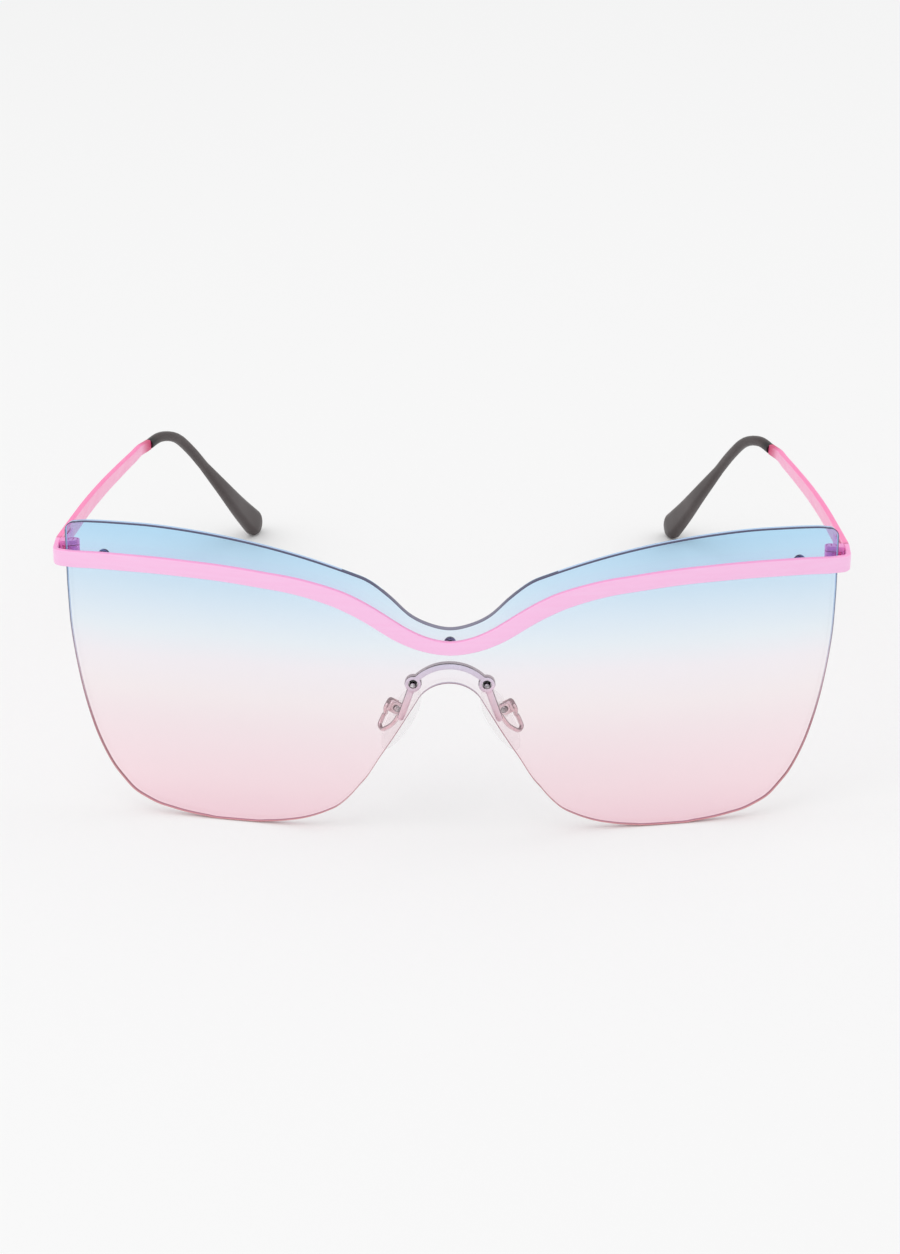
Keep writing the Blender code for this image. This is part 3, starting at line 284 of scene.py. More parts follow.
def block(low: Vector, high: Vector) -> Skin:
    """Make a box between two corners, for cutting slots.

    Args:
        low: the corner with the lowest values.
        high: the corner with the highest values.

    Returns:
        The points and faces of the box.
    """
    rings = []
    for z in (low.z, high.z):
        corners = ((low.x, low.y), (high.x, low.y), (high.x, high.y), (low.x, high.y))
        rings.append([Vector((x, y, z)) for x, y in corners])
    return loft(rings)


def plate(outline: list[tuple[float, float]], low: float, high: float) -> Skin:
    """Raise a flat outline from one height to another."""
    return loft([[Vector((x, y, z)) for x, y in outline] for z in (low, high)])


def mesh_from(name: str, skin: Skin, placement: Matrix | None = None) -> bpy.types.Mesh:
    """Make a mesh from a skin, with all its faces out.

    Args:
        name: the mesh's name.
        skin: its points and faces.
        placement: where to move it, or None to leave it where it is.

    Returns:
        The mesh.
    """
    mesh = bpy.data.meshes.new(name)
    mesh.from_pydata([tuple(p) for p in skin[0]], [], skin[1])
    work = bmesh.new()
    work.from_mesh(mesh)
    if placement is not None:
        bmesh.ops.transform(work, matrix=placement, verts=work.verts)
    bmesh.ops.recalc_face_normals(work, faces=work.faces)
    if work.calc_volume(signed=True) < 0.0:
        bmesh.ops.reverse_faces(work, faces=work.faces)
    work.to_mesh(mesh)
    work.free()
    return mesh


class Cut(Enum):
    """How one solid is put together with others."""

    JOIN = "UNION"
    TAKE_AWAY = "DIFFERENCE"


def combine(base: bpy.types.Mesh, others: list[bpy.types.Mesh], how: Cut) -> bpy.types.Mesh:
    """Join solids to a solid, or take them away from it.

    Args:
        base: the solid that is kept.
        others: the solids that are joined to it or taken away.
        how: which of the two.

    Returns:
        The new mesh.
    """
    items = []
    for mesh in [base] + others:
        item = bpy.data.objects.new(f"{mesh.name}_work", mesh)
        bpy.context.scene.collection.objects.link(item)
        items.append(item)
    for item in items[1:]:
        step = items[0].modifiers.new("step", "BOOLEAN")
        step.operation, step.solver, step.object = how.value, "EXACT", item
    bpy.context.view_layer.update()
    graph = bpy.context.evaluated_depsgraph_get()
    result = bpy.data.meshes.new_from_object(items[0].evaluated_get(graph))
    for item in items:
        bpy.data.objects.remove(item, do_unlink=True)
    return result


def mirrored_mesh(mesh: bpy.types.Mesh, side: Side) -> bpy.types.Mesh:
    """Return a mesh made for the right-hand side, on the given side.

    Args:
        mesh: the mesh as it stands on the right-hand side.
        side: the side that it is for.

    Returns:
        The mesh itself for the right-hand side, or its mirror image for the left-hand side.
    """
    if side is Side.RIGHT:
        return mesh
    work = bmesh.new()
    work.from_mesh(mesh)
    bmesh.ops.transform(work, matrix=Matrix.Scale(-1.0, 4, ACROSS), verts=work.verts)
    bmesh.ops.reverse_faces(work, faces=work.faces)
    result = bpy.data.meshes.new(mesh.name)
    work.to_mesh(result)
    work.free()
    return result


@dataclass(frozen=True)
class Piece:
    """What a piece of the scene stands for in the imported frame."""

    name: str
    body: str
    slot: str
    nodes: tuple[str, ...]

    @classmethod
    def sided(cls, side: Side, name: str, body: Body, slot: str, node: str) -> "Piece":
        """Name a piece that stands for one CAD node on a side of the glasses.

        Args:
            side: the side.
            name: the piece's name, without its side.
            body: the body that it rides on.
            slot: its material slot in the record.
            node: the CAD node's name, without its side.

        Returns:
            The piece.
        """
        return cls(f"{name}_{side.word}", body.on(side), slot, (f"{node}_{side.word}",))

    def put(
        self,
        mesh: bpy.types.Mesh,
        materials: list[bpy.types.Material],
        sharp_deg: float = 35.0,
        bevel: float = 0.0,
    ) -> bpy.types.Object:
        """Put the piece's mesh in the scene, in place of its CAD nodes.

        Args:
            mesh: the piece's mesh, where it stands at rest.
            materials: its finishes, in the order of the mesh's material numbers.
            sharp_deg: the angle above which an edge stays sharp.
            bevel: how far its sharp edges are rounded off.

        Returns:
            The new object.
        """
        item = bpy.data.objects.new(self.name, mesh)
        bpy.context.scene.collection.objects.link(item)
        for material in materials:
            mesh.materials.append(material)
        mesh.shade_smooth()
        mesh.set_sharp_from_angle(angle=math.radians(sharp_deg))
        if bevel > 0.0:
            rounding = item.modifiers.new("rounded_edges", "BEVEL")
            rounding.width, rounding.segments = bevel, 2
            rounding.limit_method, rounding.angle_limit = "ANGLE", math.radians(sharp_deg)
            rounding.harden_normals = True
        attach(item, self.body)
        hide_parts(*self.nodes)
        LOG.info("%s: %d faces, rides on %s", self.name, len(mesh.polygons), self.body)
        return item


def dress(node: str, material: bpy.types.Material) -> None:
    """Give a CAD node that stays in view its finish.

    Args:
        node: the node's name.
        material: its finish.
    """
    item = frame["nodes"][node]
    for spot in item.material_slots:
        spot.material = material
    LOG.info("%s: kept from the frame, finished as %s", node, material.name)


# Finishes


class Recipe:
    """A material's node tree, put together one node at a time."""

    def __init__(self, name: str) -> None:
        """Start an empty material.

        Args:
            name: the material's name.
        """
        self.material = bpy.data.materials.new(name)
        self.material.use_nodes = True
        self.tree = self.material.node_tree
        self.tree.nodes.clear()

    def add(
        self, kind: str, settings: dict[str, str] | None = None,
        **values: float | Vector | tuple[float, ...] | Socket,
    ) -> bpy.types.Node:
        """Add a node.

        Args:
            kind: the node's type.
            settings: its properties by name.
            **values: its inputs by name, with _ for a space: a value, or the output that feeds it.

        Returns:
            The node.
        """
        node = self.tree.nodes.new(kind)
        for name, value in (settings or {}).items():
            setattr(node, name, value)
        for name, value in values.items():
            spot = node.inputs[int(name[1:]) if name[1:].isdigit() else name.replace("_", " ")]
            if isinstance(value, Socket):
                self.tree.links.new(value, spot)
            else:
                spot.default_value = value
        return node

    def place(self) -> Socket:
        """Return the place on the piece, in metres."""
        return self.add("ShaderNodeTexCoord").outputs["Object"]

    def direction(self) -> Socket:
        """Return the direction that the piece's surface faces."""
        return self.add("ShaderNodeTexCoord").outputs["Normal"]

    def part_of(self, vector: Socket, axis: str) -> Socket:
        """Return a vector's part along X, Y or Z."""
        return self.add("ShaderNodeSeparateXYZ", Vector=vector).outputs[axis]

    def stretched(self, scale: Stretch) -> Socket:
        """Return the place on the piece, stretched along its axes."""
        return self.add("ShaderNodeMapping", Vector=self.place(), Scale=scale).outputs["Vector"]

    def noise(self, where: Socket, scale: float, detail: float = 3.0) -> Socket:
        """Return a soft random pattern at a place."""
        return self.add(
            "ShaderNodeTexNoise", Vector=where, Scale=scale, Detail=detail, Roughness=NOISE_ROUGHNESS
        ).outputs["Fac"]

    def between(self, value: Socket, low: float, high: float) -> Socket:
        """Return a noise pattern spread over a range of values.

        Args:
            value: the pattern.
            low: the value that stands for its low places.
            high: the value that stands for its high places.

        Returns:
            The spread pattern.
        """
        return self.add(
            "ShaderNodeMapRange",
            Value=value, From_Min=NOISE_LOW, From_Max=NOISE_HIGH, To_Min=low, To_Max=high,
        ).outputs["Result"]

    def rising(self, value: Socket, low: float, high: float, top: float) -> Socket:
        """Return a value's smooth rise from 0 at low to top at high.

        Args:
            value: the value that it follows.
            low: where the rise starts.
            high: where it ends.
            top: how high it gets.

        Returns:
            The rise, from 0 to top.
        """
        return self.add(
            "ShaderNodeMapRange", {"interpolation_type": "SMOOTHSTEP"},
            Value=value, From_Min=low, From_Max=high, To_Min=0.0, To_Max=top,
        ).outputs["Result"]

    def ramp(self, value: Socket, stops: list[tuple[float, Colour]]) -> Socket:
        """Return colours laid over a value, from stops of a place and a colour.

        Args:
            value: the value.
            stops: places from 0 to 1 with the colour at each, in rising order.

        Returns:
            The colour at the value.
        """
        node = self.add("ShaderNodeValToRGB", Fac=value)
        marks = node.color_ramp.elements
        while len(marks) > 1:
            marks.remove(marks[-1])
        marks[0].position = stops[0][0]
        marks[0].color = (*stops[0][1], 1.0)
        for where, colour in stops[1:]:
            marks.new(where).color = (*colour, 1.0)
        return node.outputs["Color"]

    def mixed(self, share: Socket, first: Colour | Socket, second: Colour | Socket) -> Socket:
        """Return two colours mixed by a share.

        Args:
            share: how much there is of the second, from 0 to 1.
            first: a colour, or the output that gives it.
            second: the other one, given in the same way.

        Returns:
            The mixed colour.
        """
        colours = [(*c, 1.0) if isinstance(c, tuple) else c for c in (first, second)]
        return self.add(
            "ShaderNodeMix", {"data_type": "RGBA"}, i0=share, i6=colours[0], i7=colours[1],
        ).outputs[2]

    def sums(self, operation: str, first: float | Socket, second: float | Socket) -> Socket:
        """Return the result of a sum on two values."""
        return self.add("ShaderNodeMath", {"operation": operation}, i0=first, i1=second).outputs[0]

    def relief(self, height: Socket, depth: float) -> Socket:
        """Return the surface direction over a relief that deep."""
        return self.add("ShaderNodeBump", Height=height, Strength=1.0, Distance=depth).outputs["Normal"]

    def gloss(self, straight: float) -> Socket:
        """Return how much a clear surface mirrors: little straight on, most at a grazing angle.

        Args:
            straight: the share that it mirrors straight on.

        Returns:
            The share that it mirrors.
        """
        facing = self.add("ShaderNodeLayerWeight", Blend=0.5).outputs["Facing"]
        rise = self.sums("POWER", facing, GRAZING_POWER)
        return self.add(
            "ShaderNodeMath", {"operation": "MULTIPLY_ADD"}, i0=rise, i1=1.0 - straight, i2=straight
        ).outputs[0]

    def finish(self, shader: bpy.types.Node) -> bpy.types.Material:
        """Connect the last shader and return the material."""
        output = self.tree.nodes.new("ShaderNodeOutputMaterial")
        self.tree.links.new(shader.outputs[0], output.inputs["Surface"])
        return self.material


@dataclass(frozen=True)
class PinkMetal:
    """Pink lacquered metal with a fine brushed grain; painted reflection deepens its pink on faces that
    look up or down, and painted shade darkens it to crimson towards one end.
    """

    name: str = "pink_metal"
    face: Colour = (1.0, 0.59, 0.86)
    deep: Colour = (1.0, 0.50, 0.79)
    # The next two colours are painted light: a deeper pink reflection on faces that look up or down, and a
    # crimson shade where the blade runs into the tip.
    crown: Colour = (1.0, 0.36, 0.68)
    dipped: Colour = (0.62, 0.06, 0.17)
    grain: Stretch = (30.0, 900.0, 900.0)
    streak_share: float = 0.35
    cloud_scale: float = 90.0
    cloud_share: float = 0.12
    metallic: float = 0.06
    roughness: float = 0.36
    smoother: float = 0.05
    rougher: float = 0.08
    relief: float = 0.000004
    crown_share: float = 0.0
    crown_slopes: tuple[float, float] = (0.35, 0.9)
    dip_from: float = 0.0
    dip_to: float = 0.0

    def make(self) -> bpy.types.Material:
        """Return the finish as a material.

        Returns:
            The material, ready to go on a piece.
        """
        r = Recipe(self.name)
        streaks = r.noise(r.stretched(self.grain), 1.0, 4.0)
        clouds = r.noise(r.place(), self.cloud_scale, 2.0)
        colour = r.mixed(r.between(streaks, 0.0, self.streak_share), self.face, self.deep)
        colour = r.mixed(r.between(clouds, 0.0, self.cloud_share), colour, self.deep)
        # Painted reflection: faces that look up or down take a deeper pink.
        if self.crown_share > 0.0:
            slope = r.sums("ABSOLUTE", r.part_of(r.direction(), "Z"), 0.0)
            crown = r.rising(slope, *self.crown_slopes, self.crown_share)
            colour = r.mixed(crown, colour, self.crown)
        # Painted shade: the pink darkens to crimson towards the end where the blade runs into the tip.
        if self.dip_to > self.dip_from:
            back = r.part_of(r.place(), "Y")
            colour = r.mixed(r.rising(back, self.dip_from, self.dip_to, 1.0), colour, self.dipped)
        return r.finish(r.add(
            "ShaderNodeBsdfPrincipled",
            Base_Color=colour, Metallic=self.metallic,
            Roughness=r.between(streaks, self.roughness - self.smoother, self.roughness + self.rougher),
            Normal=r.relief(streaks, self.relief),
        ))


@dataclass(frozen=True)
class TintedPlastic:
    """Clear lens plastic, tinted from blue at the top to rose at the bottom, with a pale shadow."""

    name: str = "tinted_plastic"
    height: float = 0.0592
    stops: tuple[tuple[float, Colour], ...] = (
        (0.00, (1.000, 0.850, 0.892)),
        (0.13, (1.000, 0.888, 0.914)),
        (0.25, (0.992, 0.907, 0.927)),
        (0.34, (0.985, 0.923, 0.937)),
        (0.43, (0.985, 0.947, 0.953)),
        (0.55, (0.974, 0.957, 0.976)),
        (0.64, (0.926, 0.963, 0.989)),
        (0.73, (0.872, 0.939, 0.992)),
        (0.91, (0.748, 0.888, 0.988)),
        (1.00, (0.688, 0.866, 0.983)),
    )
    mirror: float = 0.04
    shade: float = 0.15
    haze: float = 0.006
    haze_scale: float = 45.0
    smear_scale: float = 160.0
    smear_roughness: tuple[float, float] = (0.015, 0.05)

    def level(self, r: Recipe) -> Socket:
        """Return how far up the lens a place is, from 0 to 1, with a faint unevenness.

        Args:
            r: the material that asks for it.

        Returns:
            The share of the lens's height.
        """
        share = r.sums("DIVIDE", r.part_of(r.place(), "Z"), self.height)
        haze = r.between(r.noise(r.place(), self.haze_scale, 2.0), -self.haze, self.haze)
        return r.sums("ADD", share, haze)

    def make(self) -> bpy.types.Material:
        """Return the finish as a material.

        Returns:
            The material, ready to go on a piece.
        """
        r = Recipe(self.name)
        tint = r.ramp(self.level(r), list(self.stops))
        light = r.add("ShaderNodeLightPath")
        falling = r.sums("MAXIMUM", light.outputs["Is Shadow Ray"], light.outputs["Is Diffuse Ray"])
        tint = r.mixed(r.sums("MULTIPLY", falling, 1.0 - self.shade), tint, WHITE)
        smears = r.noise(r.place(), self.smear_scale, 3.0)
        clear = r.add("ShaderNodeBsdfTransparent", Color=tint)
        if self.mirror == 0.0:
            return r.finish(clear)
        shine = r.add(
            "ShaderNodeBsdfGlossy",
            Color=(*WHITE, 1.0), Roughness=r.between(smears, *self.smear_roughness),
        )
        return r.finish(r.add(
            "ShaderNodeMixShader",
            i0=r.gloss(self.mirror), i1=clear.outputs[0], i2=shine.outputs[0],
        ))


@dataclass(frozen=True)
class LensEdge:
    """The polished edge of the tinted plastic, coloured at each level by the plastic's own tint and by
    painted reflection: the dark lines that inner reflection and refraction show on a clear edge.
    """

    name: str
    stops: tuple[tuple[float, Colour], ...]
    height: float = 0.0592
    gloss: float = 0.5
    polish_scale: float = 700.0
    uneven: float = 0.02
    roughness: tuple[float, float] = (0.12, 0.28)
    relief: float = 0.000006

    def make(self) -> bpy.types.Material:
        """Return the finish as a material.

        Returns:
            The material, ready to go on a piece.
        """
        r = Recipe(self.name)
        share = r.sums("DIVIDE", r.part_of(r.place(), "Z"), self.height)
        polish = r.noise(r.place(), self.polish_scale, 3.0)
        wander = r.between(polish, -self.uneven, self.uneven)
        colour = r.ramp(r.sums("ADD", share, wander), list(self.stops))
        return r.finish(r.add(
            "ShaderNodeBsdfPrincipled",
            Base_Color=colour, Roughness=r.between(polish, *self.roughness),
            Specular_IOR_Level=self.gloss, Normal=r.relief(polish, self.relief),
        ))


# Painted reflection on the lens's edge: dark rose and blue lines on its outer and inner strips, and a
# near-black line where it faces up.
EDGE_INNER = LensEdge("lens_edge_inner", (
    (0.00, (0.40, 0.17, 0.25)),
    (0.12, (0.30, 0.11, 0.14)),
    (0.30, (0.36, 0.16, 0.20)),
    (0.50, (0.66, 0.61, 0.70)),
    (0.75, (0.50, 0.65, 0.88)),
    (1.00, (0.42, 0.58, 0.85)),
))
EDGE_OUTER = LensEdge("lens_edge_outer", (
    (0.00, (0.68, 0.33, 0.34)),
    (0.12, (0.62, 0.32, 0.33)),
    (0.30, (0.44, 0.18, 0.22)),
    (0.50, (0.40, 0.25, 0.31)),
    (0.70, (0.16, 0.19, 0.30)),
    (1.00, (0.11, 0.12, 0.17)),
))
EDGE_TOP = LensEdge("lens_edge_top", (
    (0.60, (0.30, 0.29, 0.37)),
    (0.72, (0.22, 0.21, 0.29)),
    (0.85, (0.09, 0.09, 0.16)),
    (1.00, (0.08, 0.08, 0.15)),
), gloss=0.15)


@dataclass(frozen=True)
class BareMetal:
    """Bare metal: polished steel, satin silver or dark plated nuts. Its rim colour is painted shade on
    faces that look neither to the front nor to the back, its foot colour is painted light low down, and
    where its light and dark patches lie far apart they are painted glints.
    """

    name: str
    light: Colour
    dark: Colour
    roughness: float
    metallic: float = 1.0
    grain: Stretch = (500.0, 500.0, 500.0)
    grain_share: float = 0.6
    relief: float = 0.000004
    cloud_scale: float = 260.0
    cloud_share: float = 0.5
    cloud_roughness: tuple[float, float] = (0.8, 1.3)
    # Painted shade: the colour of faces that look neither to the front nor to the back, and the slopes over
    # which it gives way to the metal's colour.
    rim: Colour | None = None
    rim_slopes: tuple[float, float] = (0.25, 0.7)
    # Painted light: the colour low down, and the heights between which it gives way to the metal's own
    # colour.
    foot: Colour | None = None
    foot_level: tuple[float, float] = (0.0, 1.0)

    def make(self) -> bpy.types.Material:
        """Return the finish as a material.

        Returns:
            The material, ready to go on a piece.
        """
        r = Recipe(self.name)
        grain = r.noise(r.stretched(self.grain), 1.0, 4.0)
        clouds = r.noise(r.place(), self.cloud_scale, 2.0)
        colour = self.light
        # Painted light: the foot colour low down, fading into the metal's own colour higher up.
        if self.foot is not None:
            level = r.part_of(r.place(), "Z")
            colour = r.mixed(r.rising(level, *self.foot_level, 1.0), self.foot, self.light)
        colour = r.mixed(r.between(grain, 0.0, self.grain_share), colour, self.dark)
        # Patches of the dark colour at random; on the nuts, pins and pad screws, where light and dark lie
        # far apart, these patches are painted glints.
        colour = r.mixed(r.between(clouds, 0.0, self.cloud_share), colour, self.dark)
        # Painted shade: faces that look neither to the front nor to the back take the rim colour.
        if self.rim is not None:
            depth = r.sums("ABSOLUTE", r.part_of(r.direction(), "Y"), 0.0)
            flat = r.rising(depth, *self.rim_slopes, 1.0)
            colour = r.mixed(flat, self.rim, colour)
        smooth, rough = (self.roughness * share for share in self.cloud_roughness)
        return r.finish(r.add(
            "ShaderNodeBsdfPrincipled",
            Base_Color=colour, Metallic=self.metallic,
            Roughness=r.between(clouds, smooth, rough),
            Normal=r.relief(grain, self.relief),
        ))


@dataclass(frozen=True)
class ClearPlastic:
    """Clear plastic or silicone that lets most of the light through and hazes it a little."""

    name: str
    tint: Colour
    body: Colour
    body_share: float
    roughness: float = 0.15
    mirror: float = 0.04
    haze_scale: float = 420.0
    tint_haze: float = 0.3
    tint_deeper: float = 0.93
    body_deeper: float = 0.9
    body_uneven: float = 0.2
    rough_uneven: float = 0.3
    relief: float = 0.00001

    def make(self) -> bpy.types.Material:
        """Return the finish as a material.

        Returns:
            The material, ready to go on a piece.
        """
        r = Recipe(self.name)
        haze = r.noise(r.place(), self.haze_scale, 3.0)
        deep_tint = tuple(c * self.tint_deeper for c in self.tint)
        deep_body = tuple(c * self.body_deeper for c in self.body)
        clear = r.add(
            "ShaderNodeBsdfTransparent",
            Color=r.mixed(r.between(haze, 0.0, self.tint_haze), self.tint, deep_tint))
        solid = r.add(
            "ShaderNodeBsdfDiffuse",
            Color=r.mixed(r.between(haze, 0.0, 1.0), self.body, deep_body))
        less, more = 1.0 - self.body_uneven, 1.0 + self.body_uneven
        inside = r.add(
            "ShaderNodeMixShader",
            i0=r.between(haze, self.body_share * less, self.body_share * more),
            i1=clear.outputs[0], i2=solid.outputs[0],
        )
        if self.mirror == 0.0:
            return r.finish(inside)
        smooth, rough = 1.0 - self.rough_uneven, 1.0 + self.rough_uneven
        shine = r.add(
            "ShaderNodeBsdfGlossy", Color=(*WHITE, 1.0),
            Roughness=r.between(haze, self.roughness * smooth, self.roughness * rough),
            Normal=r.relief(haze, self.relief),
        )
        return r.finish(r.add(
            "ShaderNodeMixShader", i0=r.gloss(self.mirror), i1=inside.outputs[0], i2=shine.outputs[0]))


@dataclass(frozen=True)
class TipPlastic:
    """Warm dark grey satin plastic with a fine moulded grain, darkened to near black round its mouth by
    painted shade.
    """

    name: str = "tip_plastic"
    light: Colour = (0.050, 0.034, 0.034)
    dark: Colour = (0.034, 0.022, 0.022)
    # Painted shade round the mouth: its near-black colour, where the mouth stands and how far back from it
    # the shade fades.
    mouth: Colour = (0.008, 0.006, 0.007)
    mouth_at: float = 0.0
    mouth_reach: float = 0.0022
    roughness: float = 0.40
    grain_scale: float = 2600.0
    cloud_scale: float = 70.0
    rubs: Stretch = (240.0, 60.0, 60.0)
    rub_depth: float = 0.07
    relief: float = 0.000010

    def make(self) -> bpy.types.Material:
        """Return the finish as a material.

        Returns:
            The material, ready to go on a piece.
        """
        r = Recipe(self.name)
        grain = r.noise(r.place(), self.grain_scale, 3.0)
        clouds = r.noise(r.place(), self.cloud_scale, 2.0)
        rubs = r.noise(r.stretched(self.rubs), 1.0, 3.0)
        colour = r.mixed(r.between(clouds, 0.0, 1.0), self.light, self.dark)
        # Painted shade: near black at the mouth, fading into the plastic's colour over the shade's reach.
        back = r.part_of(r.place(), "Y")
        clear = r.rising(back, self.mouth_at, self.mouth_at + self.mouth_reach, 1.0)
        return r.finish(r.add(
            "ShaderNodeBsdfPrincipled",
            Base_Color=r.mixed(clear, self.mouth, colour),
            Roughness=r.between(rubs, self.roughness - self.rub_depth, self.roughness + self.rub_depth),
            Normal=r.relief(grain, self.relief),
        ))


# Sub-assemblies


@dataclass
class LensSurface:
    """The curved surface that every piece on the front is set out on."""

    wrap_radius: float = 0.250
    lean_deg: float = 3.0
    seat: Vector = field(default_factory=lambda: Vector((0.0, -0.069712, 0.000281)))

    def __post_init__(self) -> None:
        """Work out the surface's own directions."""
        lean = math.radians(self.lean_deg)
        self.up = Vector((0.0, math.sin(lean), math.cos(lean)))
        self.front = Vector((0.0, -math.cos(lean), math.sin(lean)))

    def at(self, x: float, level: float, depth: float) -> Vector:
        """Return the point at a place across, a level up and a depth behind the lens's front face.

        Args:
            x: the place across.
            level: how far up it is, along the lens.
            depth: how far behind the front face it is.

        Returns:
            The point.
        """
        turn = math.asin(x / self.wrap_radius)
        radius = self.wrap_radius - depth
        back = self.wrap_radius - radius * math.cos(turn)
        return self.seat + ACROSS * (radius * math.sin(turn)) - self.front * back + self.up * level

    def axes(self, x: float) -> tuple[Vector, Vector]:
        """Return the directions across the lens and out of its front face, at a place across."""
        turn = math.asin(x / self.wrap_radius)
        out = ACROSS * math.sin(turn) + self.front * math.cos(turn)
        return ACROSS * math.cos(turn) - self.front * math.sin(turn), out

    def placement(self, x: float, level: float, depth: float) -> Matrix:
        """Return a placement whose Z points out of the lens's back, at a place on it."""
        along, out = self.axes(x)
        turn = Matrix((-along, self.up, -out)).transposed().to_4x4()
        return Matrix.Translation(self.at(x, level, depth)) @ turn


class LensFace(IntEnum):
    """The finishes of the lens's faces, by material number; the edge's outer, inner and top finishes carry
    painted reflection.
    """

    CLEAR = 0
    OUTER = 1
    INNER = 2
    TOP = 3
    WALL = 4


@dataclass
class ShieldLens:
    """The one-piece tinted lens."""

    surface: LensSurface
    plastic: bpy.types.Material
    wall: bpy.types.Material
    width: float = 0.1452
    height: float = 0.0593
    thickness: float = 0.0014
    corner_radius: float = 0.0020
    arch_radius: float = 0.0070
    waist: float = 0.01107
    arch_sweep_deg: float = 58.0
    edge_round: float = 0.00014
    band_shares: tuple[float, float] = (0.45, 0.78)
    # Each strip of the lens's edge from front to back: its finish, and the level below which
    # the strip gets the near-black painted reflection where it faces up
    strips: tuple[tuple[LensFace, float], ...] = (
        (LensFace.OUTER, 0.1), (LensFace.OUTER, 0.1), (LensFace.INNER, 0.053),
        (LensFace.WALL, 0.049), (LensFace.WALL, 0.049),
    )
    top_slope: float = 0.45
    grid_step: float = 0.0024
    row_stretch: float = 1.6
    hole_margin: float = 1.5
    merge_within: float = 1e-7
    top_steps: int = 8
    outer_steps: int = 6
    arch_steps: int = 18
    top_edge_shares: tuple[tuple[float, float], ...] = (
        (0.0, 0.701), (0.0515, 0.7138), (0.1024, 0.7456), (0.154, 0.8059), (0.2041, 0.8544),
        (0.255, 0.8812), (0.3574, 0.9222), (0.4591, 0.954), (0.5622, 0.9774), (0.6639, 0.9925),
        (0.7698, 1.0), (0.8742, 0.9975), (0.94, 0.9925), (0.965, 0.9885),
    )
    corner_share: float = 0.986
    outer_edge_shares: tuple[tuple[float, float], ...] = (
        (0.9995, 0.773), (0.996, 0.650), (0.9896, 0.5676), (0.980, 0.4856), (0.9676, 0.4035),
        (0.951, 0.3218), (0.929, 0.2404), (0.8977, 0.160), (0.866, 0.108), (0.8385, 0.0720),
        (0.8055, 0.0485), (0.774, 0.0318), (0.7423, 0.0226), (0.7093, 0.0142), (0.6777, 0.0084),
        (0.646, 0.0042), (0.6131, 0.0), (0.5182, 0.0), (0.4866, 0.0034), (0.4536, 0.0075),
        (0.4206, 0.0142), (0.389, 0.0226), (0.3574, 0.0352), (0.3258, 0.0519), (0.2942, 0.0737),
        (0.264, 0.1089), (0.2365, 0.151), (0.2145, 0.1859), (0.1821, 0.253), (0.1553, 0.3048),
        (0.132, 0.3518), (0.1072, 0.4037),
    )

    @property
    def half(self) -> float:
        """Return half the lens's width."""
        return self.width / 2.0

    @property
    def dip_level(self) -> float:
        """Return the level of the top edge in the middle."""
        return self.height * self.top_edge_shares[0][1]

    @property
    def arch_level(self) -> float:
        """Return the level of the top of the nose arch."""
        return self.dip_level - self.waist

    def outline(self) -> list[Vector]:
        """Draw the lens's outline.

        Returns:
            Its points, with x across and y up, once round from the middle of the top edge.
        """
        marks = [(-x, z) for x, z in self.top_edge_shares[1:2]] + list(self.top_edge_shares)
        top = through([Vector((x * self.half, z * self.height)) for x, z in marks],
                      self.top_steps)[self.top_steps:]
        corner_x = self.half - self.corner_radius
        corner_z = self.corner_share * self.height - self.corner_radius
        half = [p for p in top if p.x < corner_x]
        for turn in turns(90.0, 0.0, 12):
            half.append(Vector((
                corner_x + self.corner_radius * math.cos(turn),
                corner_z + self.corner_radius * math.sin(turn),
            )))
        outer = [Vector((x * self.half, z * self.height)) for x, z in self.outer_edge_shares]
        half += [Vector((p.x, max(p.y, 0.0))) for p in through(outer, self.outer_steps)]
        arch_centre = self.arch_level - self.arch_radius
        for k in range(self.arch_steps - 1, -1, -1):
            turn = math.radians(self.arch_sweep_deg * k / self.arch_steps)
            x = self.arch_radius * math.sin(turn)
            half.append(Vector((x, arch_centre + self.arch_radius * math.cos(turn))))
        return half + [Vector((-p.x, p.y)) for p in reversed(half[1:-1])]

    def inset(self, loop: list[Vector], by: float) -> list[Vector]:
        """Return the outline moved inwards.

        Args:
            loop: the outline's points.
            by: how far they move.

        Returns:
            The moved points.
        """
        result = []
        for i, p in enumerate(loop):
            along = (loop[(i + 1) % len(loop)] - loop[i - 1]).normalized()
            result.append(p + Vector((along.y, -along.x)) * by)
        return result

    def build(self, holes: list[tuple[float, float, float]]) -> bpy.types.Object:
        """Build the lens, with its round holes.

        Args:
            holes: each hole's place across, its level and its radius.

        Returns:
            The lens.
        """
        loop = self.outline()
        inner = self.inset(loop, self.edge_round)
        flat = list(inner)
        edges = [(i, (i + 1) % len(inner)) for i in range(len(inner))]
        rims = []
        for x, level, radius in holes:
            first = len(flat)
            for k in range(PLAIN_ROUND):
                turn = 2.0 * math.pi * k / PLAIN_ROUND
                flat.append(Vector((x + radius * math.cos(turn), level + radius * math.sin(turn))))
            rims.append(list(range(first, len(flat))))
            edges += [(rims[-1][k - 1], rims[-1][k]) for k in range(PLAIN_ROUND)]
        flat += self.grid(inner, holes)
        sheet = delaunay_2d_cdt(flat, edges, [], 1, self.merge_within)
        spots, triangles, sources = sheet[0], sheet[2], sheet[3]
        found = {old: new for new, olds in enumerate(sources) for old in olds}
        kept = []
        chord = math.cos(math.pi / PLAIN_ROUND)
        for face in triangles:
            middle = sum((spots[i] for i in face), Vector((0.0, 0.0))) / len(face)
            if all((middle - Vector((x, z))).length > radius * chord for x, z, radius in holes):
                kept.append(tuple(face))
        return self.assemble(loop, spots, kept, [found[i] for i in range(len(inner))],
                             [[found[i] for i in rim] for rim in rims])

